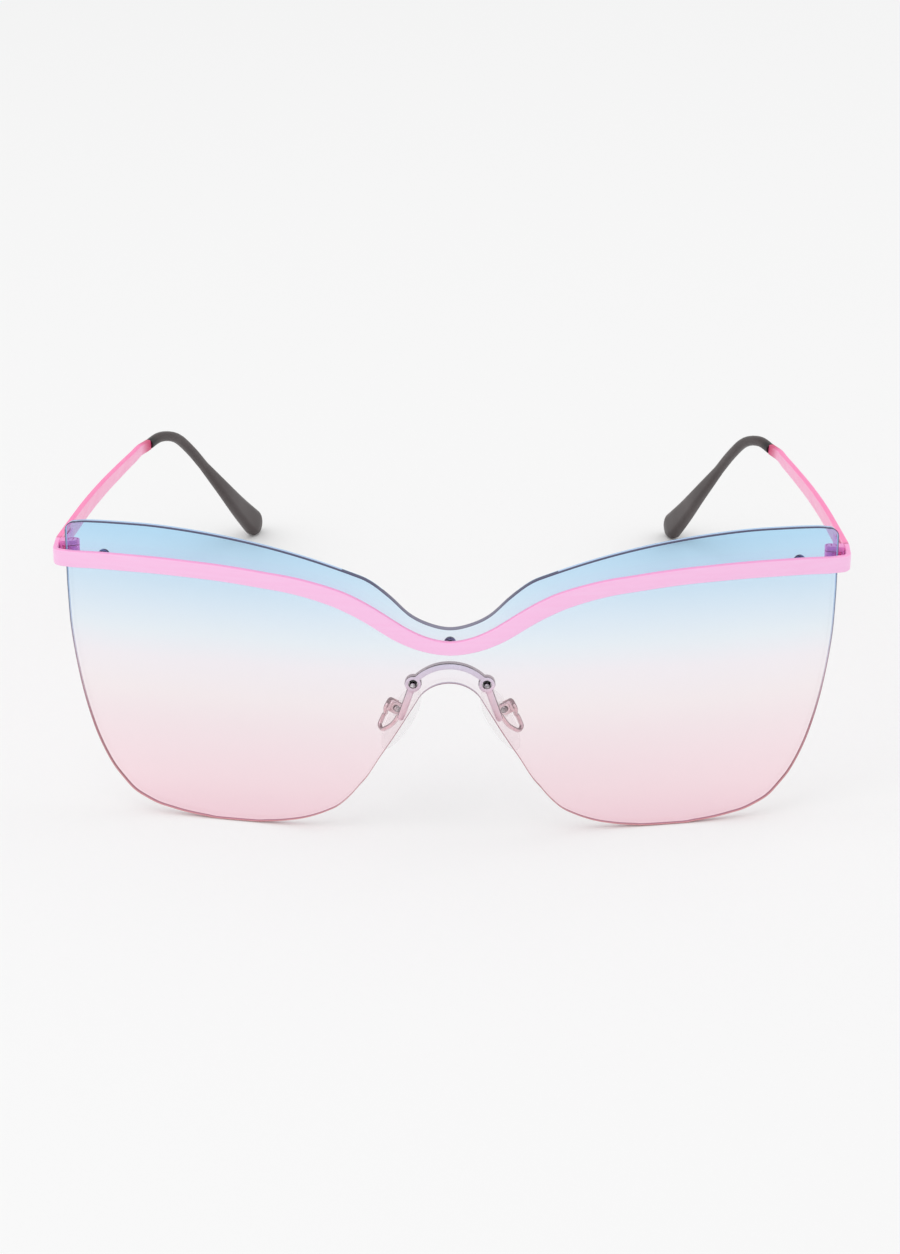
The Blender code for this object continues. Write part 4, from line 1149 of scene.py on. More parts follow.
    def grid(self, loop: list[Vector], holes: list[tuple[float, float, float]]) -> list[Vector]:
        """Return points spread over the inside of the outline, clear of its edge and the holes.

        Args:
            loop: the outline.
            holes: each hole's place across, its level and its radius.

        Returns:
            The points.
        """
        points = []
        count = int(self.half / self.grid_step)
        segments = list(zip(loop, loop[1:] + loop[:1]))
        for column in range(-count, count + 1):
            x = column * self.grid_step
            crossings = sorted(
                a.y + (b.y - a.y) * (x - a.x) / (b.x - a.x)
                for a, b in segments if (a.x <= x) != (b.x <= x)
            )
            for low, high in zip(crossings[::2], crossings[1::2]):
                steps = max(int((high - low) / (self.row_stretch * self.grid_step)), 1)
                for k in range(1, steps):
                    p = Vector((x, low + (high - low) * k / steps))
                    if all((p - Vector((hx, hz))).length > self.hole_margin * radius
                           for hx, hz, radius in holes):
                        points.append(p)
        return points

    def assemble(
        self, loop: list[Vector], spots: list[Vector], triangles: list[tuple[int, ...]],
        rim: list[int], hole_rims: list[list[int]],
    ) -> bpy.types.Object:
        """Close the front and back faces with the lens's edge and its hole walls.

        Args:
            loop: the outline.
            spots: the points of a face.
            triangles: the triangles of a face.
            rim: the face's points along the outline.
            hole_rims: the face's points round each hole.

        Returns:
            The lens.
        """
        back = self.thickness
        count = len(spots)
        points = [self.surface.at(p.x, p.y, 0.0) for p in spots]
        points += [self.surface.at(p.x, p.y, back) for p in spots]
        faces = list(triangles) + [tuple(count + i for i in reversed(f)) for f in triangles]
        for hole in hole_rims:
            for k in range(len(hole)):
                faces.append((hole[k - 1], hole[k], count + hole[k], count + hole[k - 1]))
        walls = sum(len(hole) for hole in hole_rims)
        finishes = [LensFace.CLEAR] * (len(faces) - walls) + [LensFace.WALL] * walls
        rows = [rim]
        outer, inner = (back * share for share in self.band_shares)
        for depth in (self.edge_round, outer, inner, back - self.edge_round):
            rows.append(list(range(len(points), len(points) + len(loop))))
            points += [self.surface.at(p.x, p.y, depth) for p in loop]
        rows.append([count + i for i in rim])
        dark_below = [-1.0] * len(faces)
        for (number, level), a, b in zip(self.strips, rows, rows[1:]):
            for k in range(len(loop)):
                faces.append((a[k - 1], a[k], b[k], b[k - 1]))
                finishes.append(number)
                dark_below.append(level)
        mesh = bpy.data.meshes.new("tinted_lens")
        mesh.from_pydata([tuple(p) for p in points], [], faces)
        for face, number in zip(mesh.polygons, finishes):
            face.material_index = number
        work = bmesh.new()
        work.from_mesh(mesh)
        bmesh.ops.recalc_face_normals(work, faces=work.faces)
        work.to_mesh(mesh)
        work.free()
        # Painted reflection: the edge's upward faces below their strip's level take the near-black top
        # finish.
        for face, level in zip(mesh.polygons, dark_below):
            if face.normal.z > self.top_slope and face.center.z < level:
                face.material_index = LensFace.TOP
        piece = Piece("tinted_lens", Body.FRONT.value, "lens", ("shield_lens",))
        edges = [EDGE_OUTER.make(), EDGE_INNER.make(), EDGE_TOP.make(), self.wall]
        item = piece.put(mesh, [self.plastic] + edges, sharp_deg=30.0)
        self.smooth_faces(mesh)
        return item

    def smooth_faces(self, mesh: bpy.types.Mesh) -> None:
        """Give the front and back faces the curved surface's own directions, so that they shine evenly.

        Args:
            mesh: the lens's mesh.
        """
        directions = []
        for face in mesh.polygons:
            for i in face.vertices:
                out = self.surface.axes(mesh.vertices[i].co.x)[1]
                if face.material_index != LensFace.CLEAR:
                    directions.append(face.normal.copy())
                else:
                    directions.append(out if face.normal.dot(out) > 0.0 else -out)
        mesh.normals_split_custom_set(directions)


@dataclass
class BrowBar:
    """The pink metal bar in front of the lens, with a return round each edge of it."""

    surface: LensSurface
    lens: ShieldLens
    height: float = 0.0034
    thickness: float = 0.0010
    edge_radius: float = 0.00025
    dip_drop: float = 0.00348
    end_drop: float = 0.00805
    corner_radius: float = 0.0018
    clearance: float = 0.0014
    return_reach: float = 0.0036
    seat_gap: float = 0.0003
    line_steps: int = 6
    bend_steps: int = 16
    corner_steps: int = 4
    line_shares: tuple[tuple[float, float], ...] = (
        (0.0, 0.0), (0.03, 0.017), (0.062, 0.058), (0.092, 0.118), (0.124, 0.204), (0.154, 0.305),
        (0.184, 0.415), (0.214, 0.518), (0.246, 0.614), (0.291, 0.725), (0.353, 0.830),
        (0.415, 0.904), (0.477, 0.948), (0.538, 0.988), (0.60, 1.018), (0.662, 1.034),
        (0.724, 1.045), (0.786, 1.048), (0.85, 1.042), (0.912, 1.032), (0.975, 1.01),
    )
    height_shares: tuple[tuple[float, float], ...] = (
        (0.0, 0.78), (0.05, 0.82), (0.09, 0.88), (0.14, 0.96), (0.27, 1.0), (0.35, 0.95),
        (0.45, 0.92), (0.65, 0.93), (0.85, 0.96), (1.1, 0.955),
    )

    def __post_init__(self) -> None:
        """Draw the bar's centreline and the bend of its return."""
        low = self.lens.dip_level - self.dip_drop
        rise = self.lens.height - self.end_drop - low
        self.line = through(
            [Vector((x * self.lens.half, low + share * rise)) for x, share in self.line_shares],
            self.line_steps)
        self.depth = -(self.seat_gap + self.thickness / 2.0)
        surface_radius = self.surface.wrap_radius - self.depth
        self.return_x = self.lens.half + self.clearance + self.thickness / 2.0
        centre_x = self.return_x - self.corner_radius
        self.bend_x = centre_x / (1.0 - self.corner_radius / surface_radius)
        self.bend_turn = math.asin(self.bend_x / surface_radius)
        back = self.surface.wrap_radius + (self.corner_radius - surface_radius) * math.cos(self.bend_turn)
        self.bend_centre = (
            self.surface.seat + ACROSS * centre_x - self.surface.front * back
            + self.surface.up * self.level(self.lens.half)
        )

    def level(self, x: float) -> float:
        """Return the level of the bar's centreline at a place across."""
        return share_between([(p.x, p.y) for p in self.line], abs(x))

    def tall(self, x: float) -> float:
        """Return the bar's height at a place across."""
        return self.height * share_between(list(self.height_shares), abs(x) / self.lens.half)

    def build(self, seat: "HingeSeat") -> bpy.types.Object:
        """Build the bar from the middle outwards, then mirror it.

        Args:
            seat: the hinge seat that the bar's return meets.

        Returns:
            The bar.
        """
        half = []
        for i, p in enumerate(q for q in self.line if q.x < self.bend_x - self.corner_radius):
            after, before = self.line[min(i + 1, len(self.line) - 1)], self.line[max(i - 1, 0)]
            slope = math.atan2(after.y - before.y, after.x - before.x) if i else 0.0
            along, out = self.surface.axes(p.x)
            up = self.surface.up * math.cos(slope) - along * math.sin(slope)
            section = rounded_section(
                self.thickness, self.tall(p.x), self.edge_radius, self.corner_steps)
            half.append(ring_at(self.surface.at(p.x, p.y, self.depth), out, up, section))
        section = rounded_section(
            self.thickness, self.tall(self.lens.half), self.edge_radius, self.corner_steps)
        for k in range(self.bend_steps + 1):
            share = k / self.bend_steps
            turn = self.bend_turn + (math.pi / 2.0 - self.bend_turn) * share
            out = ACROSS * math.sin(turn) + self.surface.front * math.cos(turn)
            up = (self.surface.up * (1.0 - share) + LEVEL_UP * share).normalized()
            out = (out - up * out.dot(up)).normalized()
            half.append(ring_at(self.bend_centre + out * self.corner_radius, out, up, section))
        end = self.bend_centre + ACROSS * self.corner_radius + LEVEL_BACK * self.return_reach
        half.append(ring_at(end, ACROSS, seat.up / math.cos(seat.pitch), section))
        left = [[Vector((-p.x, p.y, p.z)) for p in ring] for ring in reversed(half[1:])]
        mesh = mesh_from("brow_strip", loft(left + half))
        piece = Piece("brow_strip", Body.FRONT.value, "brow_bar", ("brow_bar",))
        # The bar's faces that look up or down get a deeper pink as painted reflection.
        finish = PinkMetal("bar_pink", grain=(24.0, 700.0, 1500.0), crown_share=0.8)
        return piece.put(mesh, [finish.make()])


@dataclass
class BrowFixings:
    """The studs, washers and dark dome nuts that hold the lens to the bar."""

    surface: LensSurface
    lens: ShieldLens
    bar: BrowBar
    inset: float = 0.0066
    drop: float = 0.00015
    stud_radius: float = 0.00055
    nut_radius: float = 0.00115
    nut_height: float = 0.00135
    washer: float = 0.0003
    fit: float = 0.00015
    bore_share: float = 0.6
    rim_share: float = 0.35
    lip_share: float = 0.07

    def places(self) -> list[tuple[str, float, float]]:
        """Return each fixing's word, place across and level."""
        reach = self.lens.half - self.inset
        return [(word, x, self.bar.level(x) - self.drop)
                for word, x in (("left", -reach), ("center", 0.0), ("right", reach))]

    def holes(self) -> list[tuple[float, float, float]]:
        """Return the holes that the fixings need in the lens."""
        return [(x, level, self.stud_radius + self.fit) for _, x, level in self.places()]

    def nut_profile(self) -> list[tuple[float, float]]:
        """Return the half section of a dome nut, from its blind bore to the top of its dome.

        Returns:
            Pairs of radius and height, the first and last of them on the axis.
        """
        bore, bore_depth = self.stud_radius + self.fit, self.nut_height * self.bore_share
        rim, lip = self.nut_height * self.rim_share, self.nut_radius * self.lip_share
        profile = [(0.0, bore_depth), (bore, bore_depth), (bore, 0.0), (self.nut_radius - lip, 0.0),
                   (self.nut_radius, lip)]
        for turn in turns(0.0, 84.0, 12):
            profile.append((self.nut_radius * math.cos(turn),
                            rim + (self.nut_height - rim) * math.sin(turn)))
        return profile + [(0.0, self.nut_height)]

    def build(self) -> None:
        """Build the dome nuts and finish the studs and the clear washers."""
        depth = self.lens.thickness + 2.0 * self.fit + self.washer
        # The nuts' bright blue patches are painted glints on the dark plating, and their rim colour is
        # painted shade.
        dark = BareMetal("nut_dark", light=(0.36, 0.50, 1.00), dark=(0.04, 0.04, 0.16), roughness=0.12,
                         metallic=0.4, cloud_scale=1100.0, cloud_share=1.0, rim=(0.006, 0.006, 0.02)).make()
        steel = BareMetal("stud_steel", light=(0.55, 0.56, 0.60), dark=(0.30, 0.31, 0.35),
                          roughness=0.22).make()
        clear = ClearPlastic("washer_clear", tint=(0.97, 0.975, 0.98), body=(0.8, 0.8, 0.82),
                             body_share=0.04, mirror=0.0).make()
        for word, x, level in self.places():
            mesh = mesh_from("dome_nut", turned(self.nut_profile(), FINE_ROUND),
                             self.surface.placement(x, level, depth))
            piece = Piece(f"dome_nut_{word}", Body.FRONT.value, "nuts", (f"brow_nut_{word}",))
            piece.put(mesh, [dark])
            dress(f"brow_stud_{word}", steel)
            dress(f"brow_washer_{word}", clear)


class BridgeFace(IntEnum):
    """The finishes of the bridge's faces, by material number: the silver, and the painted shade of its dark
    line and darker sides.
    """

    SILVER = 0
    DARK_LINE = 1
    SIDE = 2


@dataclass
class NoseBridge:
    """The arched silver band behind the lens, with an eye and a leg on each side, and its pins."""

    surface: LensSurface
    lens: ShieldLens
    thickness: float = 0.0014
    band_width: float = 0.0012
    arch_radius: float = 0.0088
    rise: float = 0.0028
    eye_radius: float = 0.0016
    eye_offset: float = 0.0070
    eye_drop: float = 0.00025
    leg_width: float = 0.0014
    leg_drop: float = 0.0069
    leg_spread: float = 0.0023
    pin_radius: float = 0.00075
    pin_dome: float = 0.00025
    pin_recess: float = 0.0009
    pin_nose: float = 0.00050
    sleeve: float = 0.00025
    fit: float = 0.00015
    seat_gap: float = 0.0003
    edge_radius: float = 0.00018
    # Where the painted rose light on the bridge's legs starts and ends: shares of the legs' drop below the
    # eyes and of the arch's rise above them.
    blush_low_share: float = 0.5
    blush_high_share: float = 0.6
    flat_slope: float = 0.9
    under_slope: float = -0.1
    edge_slope: float = 0.25
    arch_steps: int = 24
    leg_steps: int = 12
    corner_steps: int = 3
    corner_share: float = 0.9

    def __post_init__(self) -> None:
        """Work out where the band stands behind the lens."""
        self.centre_level = self.lens.arch_level + self.rise - self.arch_radius
        rise = math.sqrt(self.arch_radius ** 2 - self.eye_offset ** 2)
        self.eye_level = self.centre_level + rise - self.eye_drop
        self.front = self.lens.thickness + self.seat_gap
        self.back = self.front + self.thickness

    def holes(self) -> list[tuple[float, float, float]]:
        """Return the holes that the sleeved pins need in the lens."""
        radius = self.pin_radius + self.fit + self.sleeve + self.fit
        return [(side.value * self.eye_offset, self.eye_level, radius) for side in Side]

    def leg_point(self, share: float, depth: float) -> Vector:
        """Return the point on the middle of the right leg, a share of the way down it."""
        x = self.eye_offset + self.leg_spread * share
        return self.surface.at(x, self.eye_level - self.leg_drop * share, depth)

    def stations(self) -> list[tuple[float, float, float]]:
        """Return the right half of the band as places across, levels and half widths.

        Returns:
            The rows, from the top of the arch to the end of the leg.
        """
        sweep = math.asin(self.eye_offset / self.arch_radius)
        rows = []
        for k in range(self.arch_steps + 1):
            turn = sweep * k / self.arch_steps
            rows.append((self.arch_radius * math.sin(turn),
                         self.centre_level + self.arch_radius * math.cos(turn), self.band_width / 2.0))
        end = self.leg_width / 2.0
        length = math.hypot(self.leg_spread, self.leg_drop)
        for k in range(1, self.leg_steps + 1):
            share = k / self.leg_steps
            rows.append((self.eye_offset + self.leg_spread * share,
                         self.eye_level - self.leg_drop * share, end))
        for turn in turns(10.0, 80.0, 7):
            share = 1.0 + end * math.sin(turn) / length
            rows.append((self.eye_offset + self.leg_spread * share,
                         self.eye_level - self.leg_drop * share, end * math.cos(turn)))
        return rows

    def band(self) -> Skin:
        """Return the band's skin from the left leg to the right leg.

        Returns:
            The points and faces of the skin.
        """
        half = self.stations()
        line = [(-x, z, w) for x, z, w in reversed(half[1:])] + half
        middle = (self.front + self.back) / 2.0
        rings = []
        for i, (x, z, w) in enumerate(line):
            before, after = line[max(i - 1, 0)], line[min(i + 1, len(line) - 1)]
            along = Vector((after[0] - before[0], after[1] - before[1])).normalized()
            side = Vector((-along.y, along.x))
            corner = min(self.edge_radius, w * self.corner_share)
            section = rounded_section(2.0 * w, self.thickness, corner, self.corner_steps)
            rings.append([self.surface.at(x + side.x * p.x, z + side.y * p.x, middle + p.y)
                          for p in section])
        return loft(rings)

    def build(self) -> None:
        """Build the bridge and its two pins, and finish their sleeves."""
        eyes, bores = [], []
        for side in Side:
            spot = self.surface.placement(side.value * self.eye_offset, self.eye_level, 0.0)
            eyes.append(mesh_from("eye", rod(self.eye_radius, self.front, self.back, FINE_ROUND,
                                             self.edge_radius), spot))
            bores.append(mesh_from("bore", rod(self.pin_radius + self.fit, 0.0,
                                               self.back + self.thickness, PLAIN_ROUND), spot))
        mesh = combine(mesh_from("bridge_band", self.band()), eyes, Cut.JOIN)
        mesh = combine(mesh, bores, Cut.TAKE_AWAY)
        self.part_faces(mesh)
        # Painted light on the silver: it turns rose towards the feet of the legs.
        low, high = (self.surface.at(0.0, self.eye_level - drop, self.front).z
                     for drop in (self.leg_drop * self.blush_low_share,
                                  -self.rise * self.blush_high_share))
        silver = BareMetal("bridge_silver", light=(0.84, 0.79, 0.90), dark=(0.76, 0.71, 0.80),
                           roughness=0.30, grain=(1500.0, 1500.0, 300.0), foot=(0.97, 0.75, 0.80),
                           foot_level=(low, high))
        # Painted shade: a near-black line on the upper front edge and in the eyes' bores, and darker sides.
        shade = BareMetal("bridge_dark_line", light=(0.055, 0.045, 0.060), dark=(0.02, 0.015, 0.02),
                          roughness=0.20)
        shaded_side = BareMetal("bridge_side", light=(0.52, 0.44, 0.48), dark=(0.36, 0.30, 0.33),
                              roughness=0.25)
        piece = Piece("bridge_band", Body.FRONT.value, "bridge", ("nose_bridge",))
        piece.put(mesh, [silver.make(), shade.make(), shaded_side.make()], sharp_deg=12.0)
        profile = [(0.0, self.pin_recess - self.pin_dome)]
        for turn in turns(0.0, 90.0, 8)[1:]:
            profile.append((self.pin_nose * math.sin(turn),
                            self.pin_recess - self.pin_dome * math.cos(turn)))
        shoulder = (self.front + self.back) / 2.0
        profile += [(self.pin_nose, shoulder), (self.pin_radius, shoulder + self.edge_radius),
                    (self.pin_radius, self.back), (0.0, self.back)]
        # Strong light and dark patches on the pins: painted glints.
        steel = BareMetal("pin_steel", light=(0.92, 0.90, 0.92), dark=(0.16, 0.14, 0.16),
                          roughness=0.10, cloud_scale=1500.0, cloud_share=0.9).make()
        for side in Side:
            spot = self.surface.placement(side.value * self.eye_offset, self.eye_level, 0.0)
            pin = Piece.sided(side, "lens_pin", Body.FRONT, "pins", "bridge_pin")
            pin.put(mesh_from("lens_pin", turned(profile, PLAIN_ROUND), spot), [steel])
            dress(f"bridge_sleeve_{side.word}", self.lens.wall)

    def part_faces(self, mesh: bpy.types.Mesh) -> None:
        """Give each of the band's faces its finish: painted shade makes a dark line on the upper front edge
        and in the eyes' bores, and darker sides.

        Args:
            mesh: the band's mesh.
        """
        eyes = [self.surface.at(side.value * self.eye_offset, self.eye_level, 0.0) for side in Side]
        for face in mesh.polygons:
            flat = abs(face.normal.dot(self.surface.front))
            rise = face.normal.dot(self.surface.up)
            off = min(math.hypot((face.center - eye).x, (face.center - eye).dot(self.surface.up))
                      for eye in eyes)
            face.material_index = BridgeFace.SIDE
            if off < self.pin_radius + 1.5 * self.fit:
                face.material_index = BridgeFace.DARK_LINE
            elif flat > self.flat_slope or rise < self.under_slope:
                face.material_index = BridgeFace.SILVER
            elif flat > self.edge_slope and face.normal.dot(self.surface.front) > 0.0:
                face.material_index = BridgeFace.DARK_LINE


@dataclass
class NoseMount:
    """One side's pad arm with its box, the pad's screw, its stiff plate and the soft pad."""

    surface: LensSurface
    bridge: NoseBridge
    side: Side
    wire_radius: float = 0.00042
    arm_drop: float = 0.0050
    box_spread: float = 0.0041
    box_drop: float = 0.00738
    box_depth: float = 0.0079
    box_width: float = 0.0026
    box_wall: float = 0.0005
    lug_thickness: float = 0.0009
    lug_radius: float = 0.0008
    screw_radius: float = 0.00032
    head_radius: float = 0.00065
    head_height: float = 0.0005
    pad_length: float = 0.0134
    pad_width: float = 0.0080
    pad_thickness: float = 0.0021
    flange_thickness: float = 0.0005
    pad_lean_deg: float = 36.0
    pad_splay_deg: float = 25.0
    rise_share: float = 0.38
    fit: float = 0.00015
    seat_gap: float = 0.0003
    overrun: float = 0.001
    box_end_share: float = 0.6
    box_round_share: float = 0.7
    head_flat_share: float = 0.3
    head_dome_share: float = 0.6
    dome_shift: float = 0.8
    dome_spread: float = 1.5
    pad_levels: int = 26
    pad_round: int = 64
    loop_steps: int = 8
    corner_steps: int = 6
    leg_shares: tuple[float, ...] = (0.45, 0.80)
    loop_shares: tuple[tuple[float, float, float], ...] = (
        (-0.532, 0.02, -0.488), (-0.21, 0.03, -0.881), (0.036, 0.05, -1.0), (0.253, 0.02, -0.933),
        (0.322, 0.02, -0.756), (0.312, -0.01, -0.56), (0.223, -0.05, -0.43), (0.06, -0.16, -0.36),
    )

    def __post_init__(self) -> None:
        """Work out the pad box's sizes and its place on the right-hand side."""
        self.slot_half = self.lug_thickness / 2.0 + self.fit
        self.cheek_half = self.slot_half + self.box_wall
        self.box_back = -(self.lug_radius + self.seat_gap + self.box_wall)
        lean, splay = math.radians(self.pad_lean_deg), math.radians(self.pad_splay_deg)
        width_way = ACROSS * math.sin(splay) - self.surface.front * math.cos(splay)
        up = (self.surface.up * math.cos(lean) - ACROSS * math.sin(lean)).normalized()
        up = (up - width_way * up.dot(width_way)).normalized()
        turn = Matrix((width_way, up.cross(width_way), up)).transposed().to_4x4()
        spot = self.surface.at(self.bridge.eye_offset + self.box_spread,
                               self.bridge.eye_level - self.box_drop, self.box_depth)
        self.placement = Matrix.Translation(spot) @ turn

    def build_arm(self, silver: bpy.types.Material) -> None:
        """Build the wire that loops down from the bridge's leg, with the pad box on its end.

        Args:
            silver: the finish of both.
        """
        start = self.bridge.back + self.fit + self.wire_radius
        route = [self.bridge.leg_point(share, start) for share in self.leg_shares]
        route += [self.placement @ (Vector(share) * self.arm_drop) for share in self.loop_shares]
        entry = self.box_back + self.box_wall - self.wire_radius
        for z in (-self.box_width / 2.0 + self.wire_radius, 0.0):
            route.append(self.placement @ Vector((0.0, entry, z)))
        wire = mesh_from("wire", tube(through(route, self.loop_steps), self.wire_radius, WIRE_ROUND))
        rings = [(self.lug_radius, 1.0)]
        for turn in turns(0.0, 78.0, 6):
            rings.append((self.box_back + self.box_wall * (1.0 - math.sin(turn)),
                          self.box_end_share + (1.0 - self.box_end_share) * math.cos(turn)))
        skin = []
        for y, shrink in rings:
            section = rounded_section(
                2.0 * self.cheek_half * shrink, self.box_width * shrink,
                self.cheek_half * self.box_round_share * shrink, self.corner_steps)
            skin.append([Vector((p.x, y, p.y)) for p in section])
        box = mesh_from("box", loft(skin))
        slot = mesh_from("slot", block(
            Vector((-self.slot_half, self.box_back + self.box_wall, -self.box_width)),
            Vector((self.slot_half, self.lug_radius + self.overrun, self.box_width))))
        bore = mesh_from("bore", rod(self.screw_radius + self.fit, -self.box_width, self.box_width,
                                     SMALL_ROUND), Matrix.Rotation(math.pi / 2.0, 4, "Y"))
        box = combine(box, [slot, bore], Cut.TAKE_AWAY)
        box.transform(self.placement)
        mesh = mirrored_mesh(combine(wire, [box], Cut.JOIN), self.side)
        piece = Piece.sided(self.side, "arm_wire", Body.FRONT, "pad_arms", "pad_arm")
        piece.put(mesh, [silver], sharp_deg=38.0)

    def build_screw(self, steel: bpy.types.Material) -> None:
        """Build the small screw that the pad swivels on.

        Args:
            steel: its finish.
        """
        low, high = self.cheek_half + self.fit, self.cheek_half + self.fit + self.head_height
        profile = [(0.0, -self.cheek_half), (self.screw_radius, -self.cheek_half),
                   (self.screw_radius, low), (self.head_radius, low)]
        flat = self.head_flat_share
        for turn in turns(0.0, 78.0, 6):
            profile.append((self.head_radius * (flat + (1.0 - flat) * math.cos(turn)),
                            high - self.head_height * self.head_dome_share * (1.0 - math.sin(turn))))
        profile.append((0.0, high))
        spot = self.placement @ Matrix.Rotation(-math.pi / 2.0, 4, "Y")
        mesh = mirrored_mesh(mesh_from("screw", turned(profile, SMALL_ROUND), spot), self.side)
        piece = Piece.sided(self.side, "box_screw", Body.FRONT, "fixings", "pad_screw")
        piece.put(mesh, [steel])

    def build_pad(self, soft: bpy.types.Material) -> None:
        """Build the soft pad: a domed oval, longer below its plate than above it.

        Args:
            soft: its finish.
        """
        back = self.lug_radius + self.seat_gap + self.flange_thickness + self.fit
        rings = []
        for k in range(self.pad_levels + 1):
            share = 0.5 - 0.5 * math.cos(math.pi * k / self.pad_levels)
            swell = math.sqrt(max(1.0 - (2.0 * share - self.dome_shift) ** 2 / self.dome_spread, 0.0))
            ring = []
            for j in range(self.pad_round):
                turn = 2.0 * math.pi * j / self.pad_round
                rise = self.rise_share if math.sin(turn) > 0.0 else 1.0 - self.rise_share
                ring.append(Vector((
                    self.pad_width / 2.0 * swell * math.cos(turn),
                    back + self.pad_thickness * share,
                    self.pad_length * rise * swell * math.sin(turn),
                )))
            rings.append(ring)
        mesh = mirrored_mesh(mesh_from("pad", loft(rings), self.placement), self.side)
        piece = Piece.sided(self.side, "soft_pad", Body.PAD, "nose_pads", "nose_pad")
        piece.put(mesh, [soft], sharp_deg=60.0)

    def build(self) -> None:
        """Build everything that this side's pad needs."""
        # The arm's rim colour is painted shade on its sides, and the pad screw's strong light and dark
        # patches are painted glints.
        silver = BareMetal("arm_silver", light=(0.90, 0.74, 0.77), dark=(0.66, 0.50, 0.53),
                           roughness=0.24, rim=(0.28, 0.20, 0.22)).make()
        steel = BareMetal("pad_screw_steel", light=(0.80, 0.76, 0.78), dark=(0.12, 0.10, 0.11),
                          roughness=0.15, cloud_scale=1500.0, cloud_share=0.9).make()
        soft = ClearPlastic("pad_silicone", tint=(0.990, 0.985, 0.987), body=(0.92, 0.89, 0.90),
                            body_share=0.03, roughness=0.30, mirror=0.015).make()
        stiff = ClearPlastic("plate_clear", tint=(0.985, 0.980, 0.982), body=(0.90, 0.88, 0.89),
                             body_share=0.03, roughness=0.20, mirror=0.01).make()
        self.build_arm(silver)
        self.build_screw(steel)
        self.build_pad(soft)
        dress(f"pad_plate_{self.side.word}", stiff)


@dataclass
class HingeSeat:
    """The place and directions of the hinge and of the temple that turns on it."""

    bar: BrowBar

    def __post_init__(self) -> None:
        """Read the right hinge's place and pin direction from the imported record."""
        joint = next(j for j in frame["joints"] if j["name"] == "right_temple_hinge")
        self.point = Vector(joint["pos_m"])
        self.up = Vector(joint["axis"]).normalized()
        self.pitch = math.asin(self.up.y)
        self.back = Vector((0.0, math.cos(self.pitch), -math.sin(self.pitch)))
        turn = Matrix((ACROSS, self.back, self.up)).transposed().to_4x4()
        self.placement = Matrix.Translation(self.point) @ turn
        end = self.bar.bend_centre + LEVEL_BACK * self.bar.return_reach
        reach = end.y - self.point.y
        rise = self.point.z - end.z
        self.return_end = reach / math.cos(self.pitch) + rise * math.tan(self.pitch)
        self.return_face = self.bar.return_x - self.bar.thickness / 2.0 - self.point.x


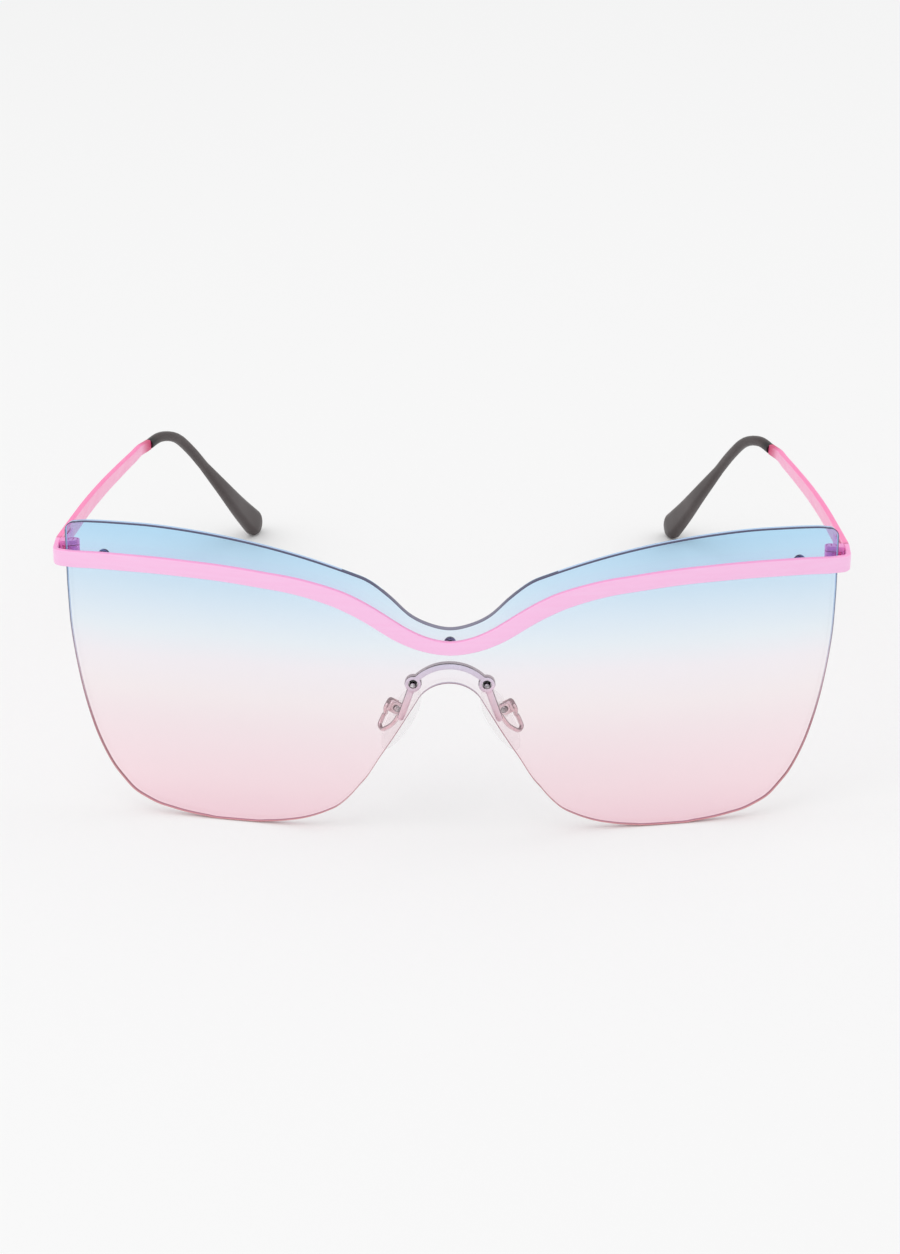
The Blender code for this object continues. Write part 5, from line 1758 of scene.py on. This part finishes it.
@dataclass
class Temple:
    """One side's flat pink temple with its core, and the soft tip over it."""

    seat: HingeSeat
    side: Side
    reach: float = 0.1279
    inset: float = 0.0280
    drop: float = 0.0305
    junction: float = 0.0798
    height: float = 0.0036
    end_height: float = 0.0022
    thickness: float = 0.0012
    edge_radius: float = 0.00028
    core_radius: float = 0.0005
    core_end_gap: float = 0.0060
    sleeve_width: float = 0.0020
    sleeve_height: float = 0.0021
    paddle_width: float = 0.0030
    paddle_height: float = 0.0058
    paddle_round_share: float = 0.51
    paddle_round_power: float = 1.27
    paddle_start_share: float = 0.483
    paddle_spread_share: float = 0.522
    paddle_end_share: float = 0.4
    corner_share: float = 0.45
    core_corner_share: float = 0.999
    mouth_share: float = 0.12
    # Painted shade at the blade's end: how far before the tip's mouth it starts, and how far before the
    # mouth it is full.
    dip_length: float = 0.0055
    dip_end: float = 0.0005
    blade_steps: int = 70
    core_steps: int = 16
    tip_steps: int = 60
    line_steps: int = 4
    blade_corner_steps: int = 4
    tip_corner_steps: int = 6
    fit: float = 0.00015
    seat_gap: float = 0.0003
    line_shares: tuple[tuple[float, float, float], ...] = (
        (0.0, 0.0, 0.0), (0.117, 0.0319, 0.0), (0.2346, 0.0684, 0.0), (0.3519, 0.121, 0.0),
        (0.469, 0.1892, 0.0), (0.547, 0.2396, 0.0), (0.59, 0.2642, 0.0), (0.62, 0.3123, -0.0056),
        (0.655, 0.392, -0.0292), (0.7, 0.4898, 0.023), (0.745, 0.577, 0.1563),
        (0.8, 0.6688, 0.3457), (0.86, 0.7798, 0.564), (0.93, 0.889, 0.7966), (1.0, 1.0031, 1.0168),
    )

    def __post_init__(self) -> None:
        """Draw the temple's centreline in the hinge's own directions."""
        start = self.seat.bar.return_x + self.seat.bar.thickness / 2.0
        self.start_x = start - self.seat.point.x - self.thickness / 2.0
        self.line = through([
            Vector((self.start_x - self.inset * inset, self.reach * reach, -self.drop * drop))
            for reach, inset, drop in self.line_shares
        ], self.line_steps)
        self.start = self.seat.return_end + self.seat_gap
        self.core_end = self.reach - self.core_end_gap

    def station(self, reach: float) -> tuple[Vector, Vector, Vector]:
        """Return the temple's centre, and its directions across and up, at a reach along it.

        Args:
            reach: how far behind the hinge's pin it is.

        Returns:
            The centre, the direction across and the direction up.
        """
        line = self.line
        i = 1
        while i < len(line) - 2 and line[i].y < reach:
            i += 1
        before, after = line[i - 1], line[i]
        share = (reach - before.y) / (after.y - before.y)
        first = (after - line[max(i - 2, 0)]).normalized()
        second = (line[min(i + 1, len(line) - 1)] - before).normalized()
        along = first.lerp(second, min(max(share, 0.0), 1.0)).normalized()
        up = (LEVEL_UP - along * along.z).normalized()
        return before.lerp(after, share), along.cross(up), up

    def put(self, piece: Piece, rings: list[list[Vector]], finish: bpy.types.Material) -> None:
        """Put a piece made in the hinge's directions for the right-hand side in its place."""
        mesh = mesh_from(piece.name, loft(rings), self.seat.placement)
        piece.put(mirrored_mesh(mesh, self.side), [finish], sharp_deg=40.0)

    def build_blade(self) -> None:
        """Build the flat metal temple with the round core that runs on inside the tip."""
        rings = []
        for k in range(self.blade_steps + 1):
            share = k / self.blade_steps
            reach = self.start + (self.junction - self.fit - self.start) * share
            centre, across, up = self.station(reach)
            if k == 0:
                across, up = ACROSS, LEVEL_UP
            height = self.height + (self.end_height - self.height) * share
            section = rounded_section(
                self.thickness, height, self.edge_radius, self.blade_corner_steps)
            rings.append(ring_at(centre, across, up, section))
        core = rounded_section(2.0 * self.core_radius, 2.0 * self.core_radius,
                               self.core_radius * self.core_corner_share, self.blade_corner_steps)
        for k in range(self.core_steps + 1):
            length = (self.core_end - self.junction + self.fit) * k / self.core_steps
            rings.append(ring_at(*self.station(self.junction - self.fit + length), core))
        # Painted light on the blade: a deeper pink reflection on faces that look up or down, and a crimson
        # shade over the last few millimetres before the tip's mouth.
        end = (self.seat.placement @ self.station(self.junction)[0]).y
        finish = PinkMetal("temple_pink", face=(1.0, 0.46, 0.68), deep=(1.0, 0.36, 0.58),
                           crown=(1.0, 0.19, 0.48), grain=(900.0, 26.0, 900.0), crown_share=0.9,
                           dip_from=end - self.dip_length, dip_to=end - self.dip_end)
        piece = Piece.sided(self.side, "temple_blade", Body.TEMPLE, "temples", "temple")
        self.put(piece, rings, finish.make())

    def tip_section(self, share: float) -> list[Vector]:
        """Return the tip's outer section, a share of the way along it.

        Args:
            share: how far along it is, from 0 to 1.

        Returns:
            The section's points, with x across and y up.
        """
        grow = min(max((share - self.paddle_start_share) / self.paddle_spread_share, 0.0), 1.0)
        width = self.sleeve_width + (self.paddle_width - self.sleeve_width) * grow
        height = self.sleeve_height + (self.paddle_height - self.sleeve_height) * grow
        return rounded_section(width, height, width * self.corner_share, self.tip_corner_steps)

    def build_tip(self) -> None:
        """Build the soft tip: a sleeve over the core that widens to a rounded paddle."""
        last = self.reach - self.paddle_height * self.paddle_round_share
        outer = []
        lip = self.sleeve_height * self.mouth_share
        for turn in turns(22.5, 90.0, 3):
            inner = 1.0 - self.mouth_share * (1.0 - math.sin(turn))
            section = [p * inner for p in self.tip_section(0.0)]
            reach = self.junction + lip * (1.0 - math.cos(turn))
            outer.append(ring_at(*self.station(reach), section))
        for k in range(1, self.tip_steps + 1):
            share = k / self.tip_steps
            reach = self.junction + (last - self.junction) * share
            outer.append(ring_at(*self.station(reach), self.tip_section(share)))
        flat = self.paddle_end_share
        for turn in turns(6.0, 84.0, 13):
            reach = last + (self.reach - last) * math.sin(turn)
            width = self.paddle_width * (flat + (1.0 - flat) * math.cos(turn))
            height = self.paddle_height * math.cos(turn) ** self.paddle_round_power
            corner = min(width, height) * self.corner_share
            section = rounded_section(width, height, corner, self.tip_corner_steps)
            outer.append(ring_at(*self.station(reach), section))
        bore_radius = self.core_radius + self.fit
        bore = rounded_section(2.0 * bore_radius, 2.0 * bore_radius,
                               bore_radius * self.core_corner_share, self.tip_corner_steps)
        inner = []
        for k in range(self.core_steps + 1):
            length = (self.core_end + self.seat_gap - self.junction) * k / self.core_steps
            inner.append(ring_at(*self.station(self.junction + length), bore))
        # The tip's mouth, where its painted shade is darkest.
        mouth = (self.seat.placement @ self.station(self.junction)[0]).y
        piece = Piece.sided(self.side, "tip_sleeve", Body.TEMPLE, "tips", "temple_tip")
        self.put(piece, list(reversed(outer)) + inner, TipPlastic(mouth_at=mouth).make())

    def build(self) -> None:
        """Build the temple and its tip."""
        self.build_blade()
        self.build_tip()


@dataclass
class Hinge:
    """One side's three-knuckle hinge with its screw."""

    seat: HingeSeat
    temple: Temple
    side: Side
    barrel_radius: float = 0.00125
    barrel_height: float = 0.0030
    barrel_rise: float = 0.0002
    knuckle_gap: float = 0.00015
    screw_radius: float = 0.00045
    head_radius: float = 0.00085
    head_height: float = 0.00035
    leaf_thickness: float = 0.0010
    leaf_length: float = 0.0085
    leaf_height: float = 0.0019
    slot_width: float = 0.0002
    slot_depth: float = 0.0002
    neck_low_share: float = 0.2
    neck_high_share: float = 0.9
    edge_bevel: float = 0.00005
    fit: float = 0.00015
    seat_gap: float = 0.0003
    overrun: float = 0.001

    def __post_init__(self) -> None:
        """Work out the knuckles' and leaves' places in the hinge's own directions."""
        self.half = self.barrel_height / 2.0
        self.middle_half = (self.barrel_height - 2.0 * self.knuckle_gap) / 6.0
        self.leaf_outer = self.seat.return_face - self.fit
        self.leaf_inner = self.leaf_outer - self.leaf_thickness
        self.temple_face = self.temple.start_x - self.temple.thickness / 2.0 - self.seat_gap
        reach = self.half + self.overrun
        self.bore = rod(self.screw_radius + self.fit, -reach, reach, PLAIN_ROUND)

    def put(self, piece: Piece, mesh: bpy.types.Mesh, finish: bpy.types.Material) -> None:
        """Put a piece made in the hinge's directions for the right-hand side in its place.

        Args:
            piece: the piece.
            mesh: its mesh, made for the right-hand side.
            finish: its finish.
        """
        mesh.transform(self.seat.placement @ Matrix.Translation(LEVEL_UP * self.barrel_rise))
        piece.put(mirrored_mesh(mesh, self.side), [finish], sharp_deg=35.0, bevel=self.edge_bevel)

    def build_front(self, finish: bpy.types.Material) -> None:
        """Build the two outer knuckles and the leaf on the bar's return.

        Args:
            finish: their finish.
        """
        end = self.seat.return_end
        leaf = plate([
            (0.0, -self.barrel_radius), (self.leaf_outer, -self.barrel_radius - self.seat_gap),
            (self.leaf_outer, end - self.seat_gap), (self.leaf_inner, end - self.seat_gap),
            (0.0, 0.0),
        ], -self.half, self.half)
        barrel = rod(self.barrel_radius, -self.half, self.half, FINE_ROUND)
        mesh = combine(mesh_from("knuckles", barrel), [mesh_from("leaf", leaf)], Cut.JOIN)
        gap = self.middle_half + self.knuckle_gap
        reach = self.barrel_radius + self.overrun
        slot = block(Vector((-reach, -reach, -gap)),
                     Vector((self.leaf_inner + self.leaf_thickness / 2.0, end + self.overrun, gap)))
        seat = rod(self.head_radius + self.fit, self.half - self.head_height - self.fit,
                   self.half + self.overrun, PLAIN_ROUND)
        cuts = [mesh_from("slot", slot), mesh_from("bore", self.bore), mesh_from("seat", seat)]
        mesh = combine(mesh, cuts, Cut.TAKE_AWAY)
        piece = Piece.sided(self.side, "front_leaf", Body.FRONT, "hinges", "hinge_front")
        self.put(piece, mesh, finish)

    def build_temple(self, finish: bpy.types.Material) -> None:
        """Build the middle knuckle, its neck and the leaf along the temple's inner face.

        Args:
            finish: their finish.
        """
        neck_y = self.seat.return_end + self.fit
        low = self.barrel_radius * self.neck_low_share
        high = self.barrel_radius * self.neck_high_share
        neck = [
            (0.0, -low), (high, low), (self.leaf_inner - self.fit, neck_y),
            (self.temple_face, neck_y + self.leaf_thickness),
            (self.leaf_inner, neck_y + 2.0 * self.leaf_thickness), (0.0, high),
        ]
        end_x = self.temple.station(self.temple.start + self.leaf_length)[0].x
        slant = self.temple.line[0].x - end_x
        leaf = [
            (self.leaf_inner, neck_y + self.seat_gap), (self.temple_face, neck_y + self.seat_gap),
            (self.temple_face - slant, neck_y + self.leaf_length),
            (self.leaf_inner - slant + self.leaf_thickness / 2.0, neck_y + self.leaf_length),
        ]
        middle, leaf_half = self.middle_half, self.leaf_height / 2.0
        parts = [mesh_from("neck", plate(neck, -middle, middle)),
                 mesh_from("leaf", plate(leaf, -leaf_half, leaf_half))]
        barrel = rod(self.barrel_radius, -middle, middle, FINE_ROUND)
        mesh = combine(mesh_from("knuckle", barrel), parts, Cut.JOIN)
        mesh = combine(mesh, [mesh_from("bore", self.bore)], Cut.TAKE_AWAY)
        piece = Piece.sided(self.side, "temple_leaf", Body.TEMPLE, "hinges", "hinge_temple")
        self.put(piece, mesh, finish)

    def build_screw(self, finish: bpy.types.Material) -> None:
        """Build the slotted screw in the barrel.

        Args:
            finish: its finish.
        """
        low, high = self.half - self.head_height, self.half
        profile = [(0.0, -self.half), (self.screw_radius, -self.half), (self.screw_radius, low),
                   (self.head_radius, low), (self.head_radius, high), (0.0, high)]
        reach = self.head_radius + self.overrun
        groove = block(Vector((-self.slot_width / 2.0, -reach, high - self.slot_depth)),
                       Vector((self.slot_width / 2.0, reach, high + self.overrun)))
        screw = mesh_from("screw", turned(profile, PLAIN_ROUND))
        mesh = combine(screw, [mesh_from("groove", groove)], Cut.TAKE_AWAY)
        piece = Piece.sided(self.side, "barrel_screw", Body.FRONT, "hinge_screws", "hinge_screw")
        self.put(piece, mesh, finish)

    def build(self) -> None:
        """Build the hinge's two halves and its screw."""
        pink = PinkMetal("hinge_pink", face=(1.0, 0.32, 0.72), deep=(0.85, 0.18, 0.52),
                         grain=(600.0, 600.0, 120.0), metallic=0.4, roughness=0.3).make()
        self.build_front(pink)
        self.build_temple(pink)
        self.build_screw(pink)


@dataclass
class Studio:
    """The plain pale floor, the soft light and the camera."""

    camera_at: Vector = field(default_factory=lambda: Vector((0.01284, -0.653792, 0.328349)))
    camera_to: Vector = field(default_factory=lambda: Vector((0.00009, -0.069712, 0.043408)))
    roll_deg: float = -0.05
    lens_mm: float = 100.68
    sensor_mm: float = 36.0
    seen_from: float = 0.01
    seen_to: float = 100.0
    lamps_to: Vector = field(default_factory=lambda: Vector((0.0, 0.0, 0.03)))
    key_at: Vector = field(default_factory=lambda: Vector((-0.7, -0.5, 1.3)))
    fill_at: Vector = field(default_factory=lambda: Vector((0.9, 0.3, 1.1)))
    floor_size: float = 12.0
    floor_colour: Colour = (0.913, 0.913, 0.913)
    paper_scale: float = 900.0
    paper_share: float = 0.997
    world_strength: float = 1.03
    key_power: float = 5.0
    fill_power: float = 2.5
    lamp_size: float = 1.4

    def build_floor(self) -> None:
        """Lay the floor."""
        half = self.floor_size / 2.0
        mesh = bpy.data.meshes.new("floor")
        corners = [(-half, -half, 0.0), (half, -half, 0.0), (half, half, 0.0), (-half, half, 0.0)]
        mesh.from_pydata(corners, [], [(0, 1, 2, 3)])
        item = bpy.data.objects.new("floor", mesh)
        bpy.context.scene.collection.objects.link(item)
        r = Recipe("floor_paper")
        grain = r.noise(r.place(), self.paper_scale, 2.0)
        low = tuple(c * self.paper_share for c in self.floor_colour)
        colour = r.mixed(r.between(grain, 0.0, 1.0), self.floor_colour, low)
        mesh.materials.append(r.finish(r.add("ShaderNodeBsdfDiffuse", Color=colour)))

    def build_world(self) -> None:
        """Light the world evenly, and show it behind the glasses in the floor's own tone."""
        world = bpy.data.worlds.new("studio")
        bpy.context.scene.world = world
        world.use_nodes = True
        tree = world.node_tree
        tree.nodes.clear()
        path = tree.nodes.new("ShaderNodeLightPath")
        light = tree.nodes.new("ShaderNodeBackground")
        light.inputs["Strength"].default_value = self.world_strength
        seen = tree.nodes.new("ShaderNodeBackground")
        seen.inputs["Color"].default_value = (*self.floor_colour, 1.0)
        pick = tree.nodes.new("ShaderNodeMixShader")
        output = tree.nodes.new("ShaderNodeOutputWorld")
        tree.links.new(path.outputs["Is Camera Ray"], pick.inputs[0])
        tree.links.new(light.outputs[0], pick.inputs[1])
        tree.links.new(seen.outputs[0], pick.inputs[2])
        tree.links.new(pick.outputs[0], output.inputs["Surface"])

    def add_lamp(self, name: str, at: Vector, power: float) -> None:
        """Hang a square soft lamp that faces the glasses.

        Args:
            name: the lamp's name.
            at: where it hangs.
            power: its power in watts.
        """
        data = bpy.data.lights.new(name, "AREA")
        data.shape, data.size, data.energy = "SQUARE", self.lamp_size, power
        item = bpy.data.objects.new(name, data)
        item.location = at
        item.rotation_mode = "QUATERNION"
        item.rotation_quaternion = (self.lamps_to - at).to_track_quat("-Z", "Y")
        bpy.context.scene.collection.objects.link(item)

    def build_camera(self) -> None:
        """Set the camera at the photograph's angle."""
        data = bpy.data.cameras.new("camera")
        data.lens, data.sensor_width, data.sensor_fit = self.lens_mm, self.sensor_mm, "AUTO"
        data.clip_start, data.clip_end = self.seen_from, self.seen_to
        item = bpy.data.objects.new("camera", data)
        item.location = self.camera_at
        item.rotation_mode = "QUATERNION"
        aim = (self.camera_to - self.camera_at).to_track_quat("-Z", "Y")
        roll = Matrix.Rotation(math.radians(self.roll_deg), 4, "Z").to_quaternion()
        item.rotation_quaternion = aim @ roll
        bpy.context.scene.collection.objects.link(item)
        bpy.context.scene.camera = item

    def build(self) -> None:
        """Set up the whole studio."""
        bpy.context.scene.view_settings.view_transform = "Standard"
        self.build_camera()
        self.build_floor()
        self.build_world()
        self.add_lamp("key", self.key_at, self.key_power)
        self.add_lamp("fill", self.fill_at, self.fill_power)
        LOG.info("studio: floor, world, two soft lamps and the camera")


def main() -> None:
    """Build the dressed sunglasses and the studio round them."""
    logging.basicConfig(level=logging.INFO, format="%(name)s %(message)s")
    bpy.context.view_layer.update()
    surface = LensSurface()
    lens = ShieldLens(surface, TintedPlastic().make(),
                      TintedPlastic("tinted_hole_wall", mirror=0.0).make())
    bar = BrowBar(surface, lens)
    fixings = BrowFixings(surface, lens, bar)
    bridge = NoseBridge(surface, lens)
    seat = HingeSeat(bar)
    lens.build(fixings.holes() + bridge.holes())
    bar.build(seat)
    fixings.build()
    bridge.build()
    for side in Side:
        NoseMount(surface, bridge, side).build()
        temple = Temple(seat, side)
        temple.build()
        Hinge(seat, temple, side).build()
    Studio().build()


if __name__ == "__main__":
    main()
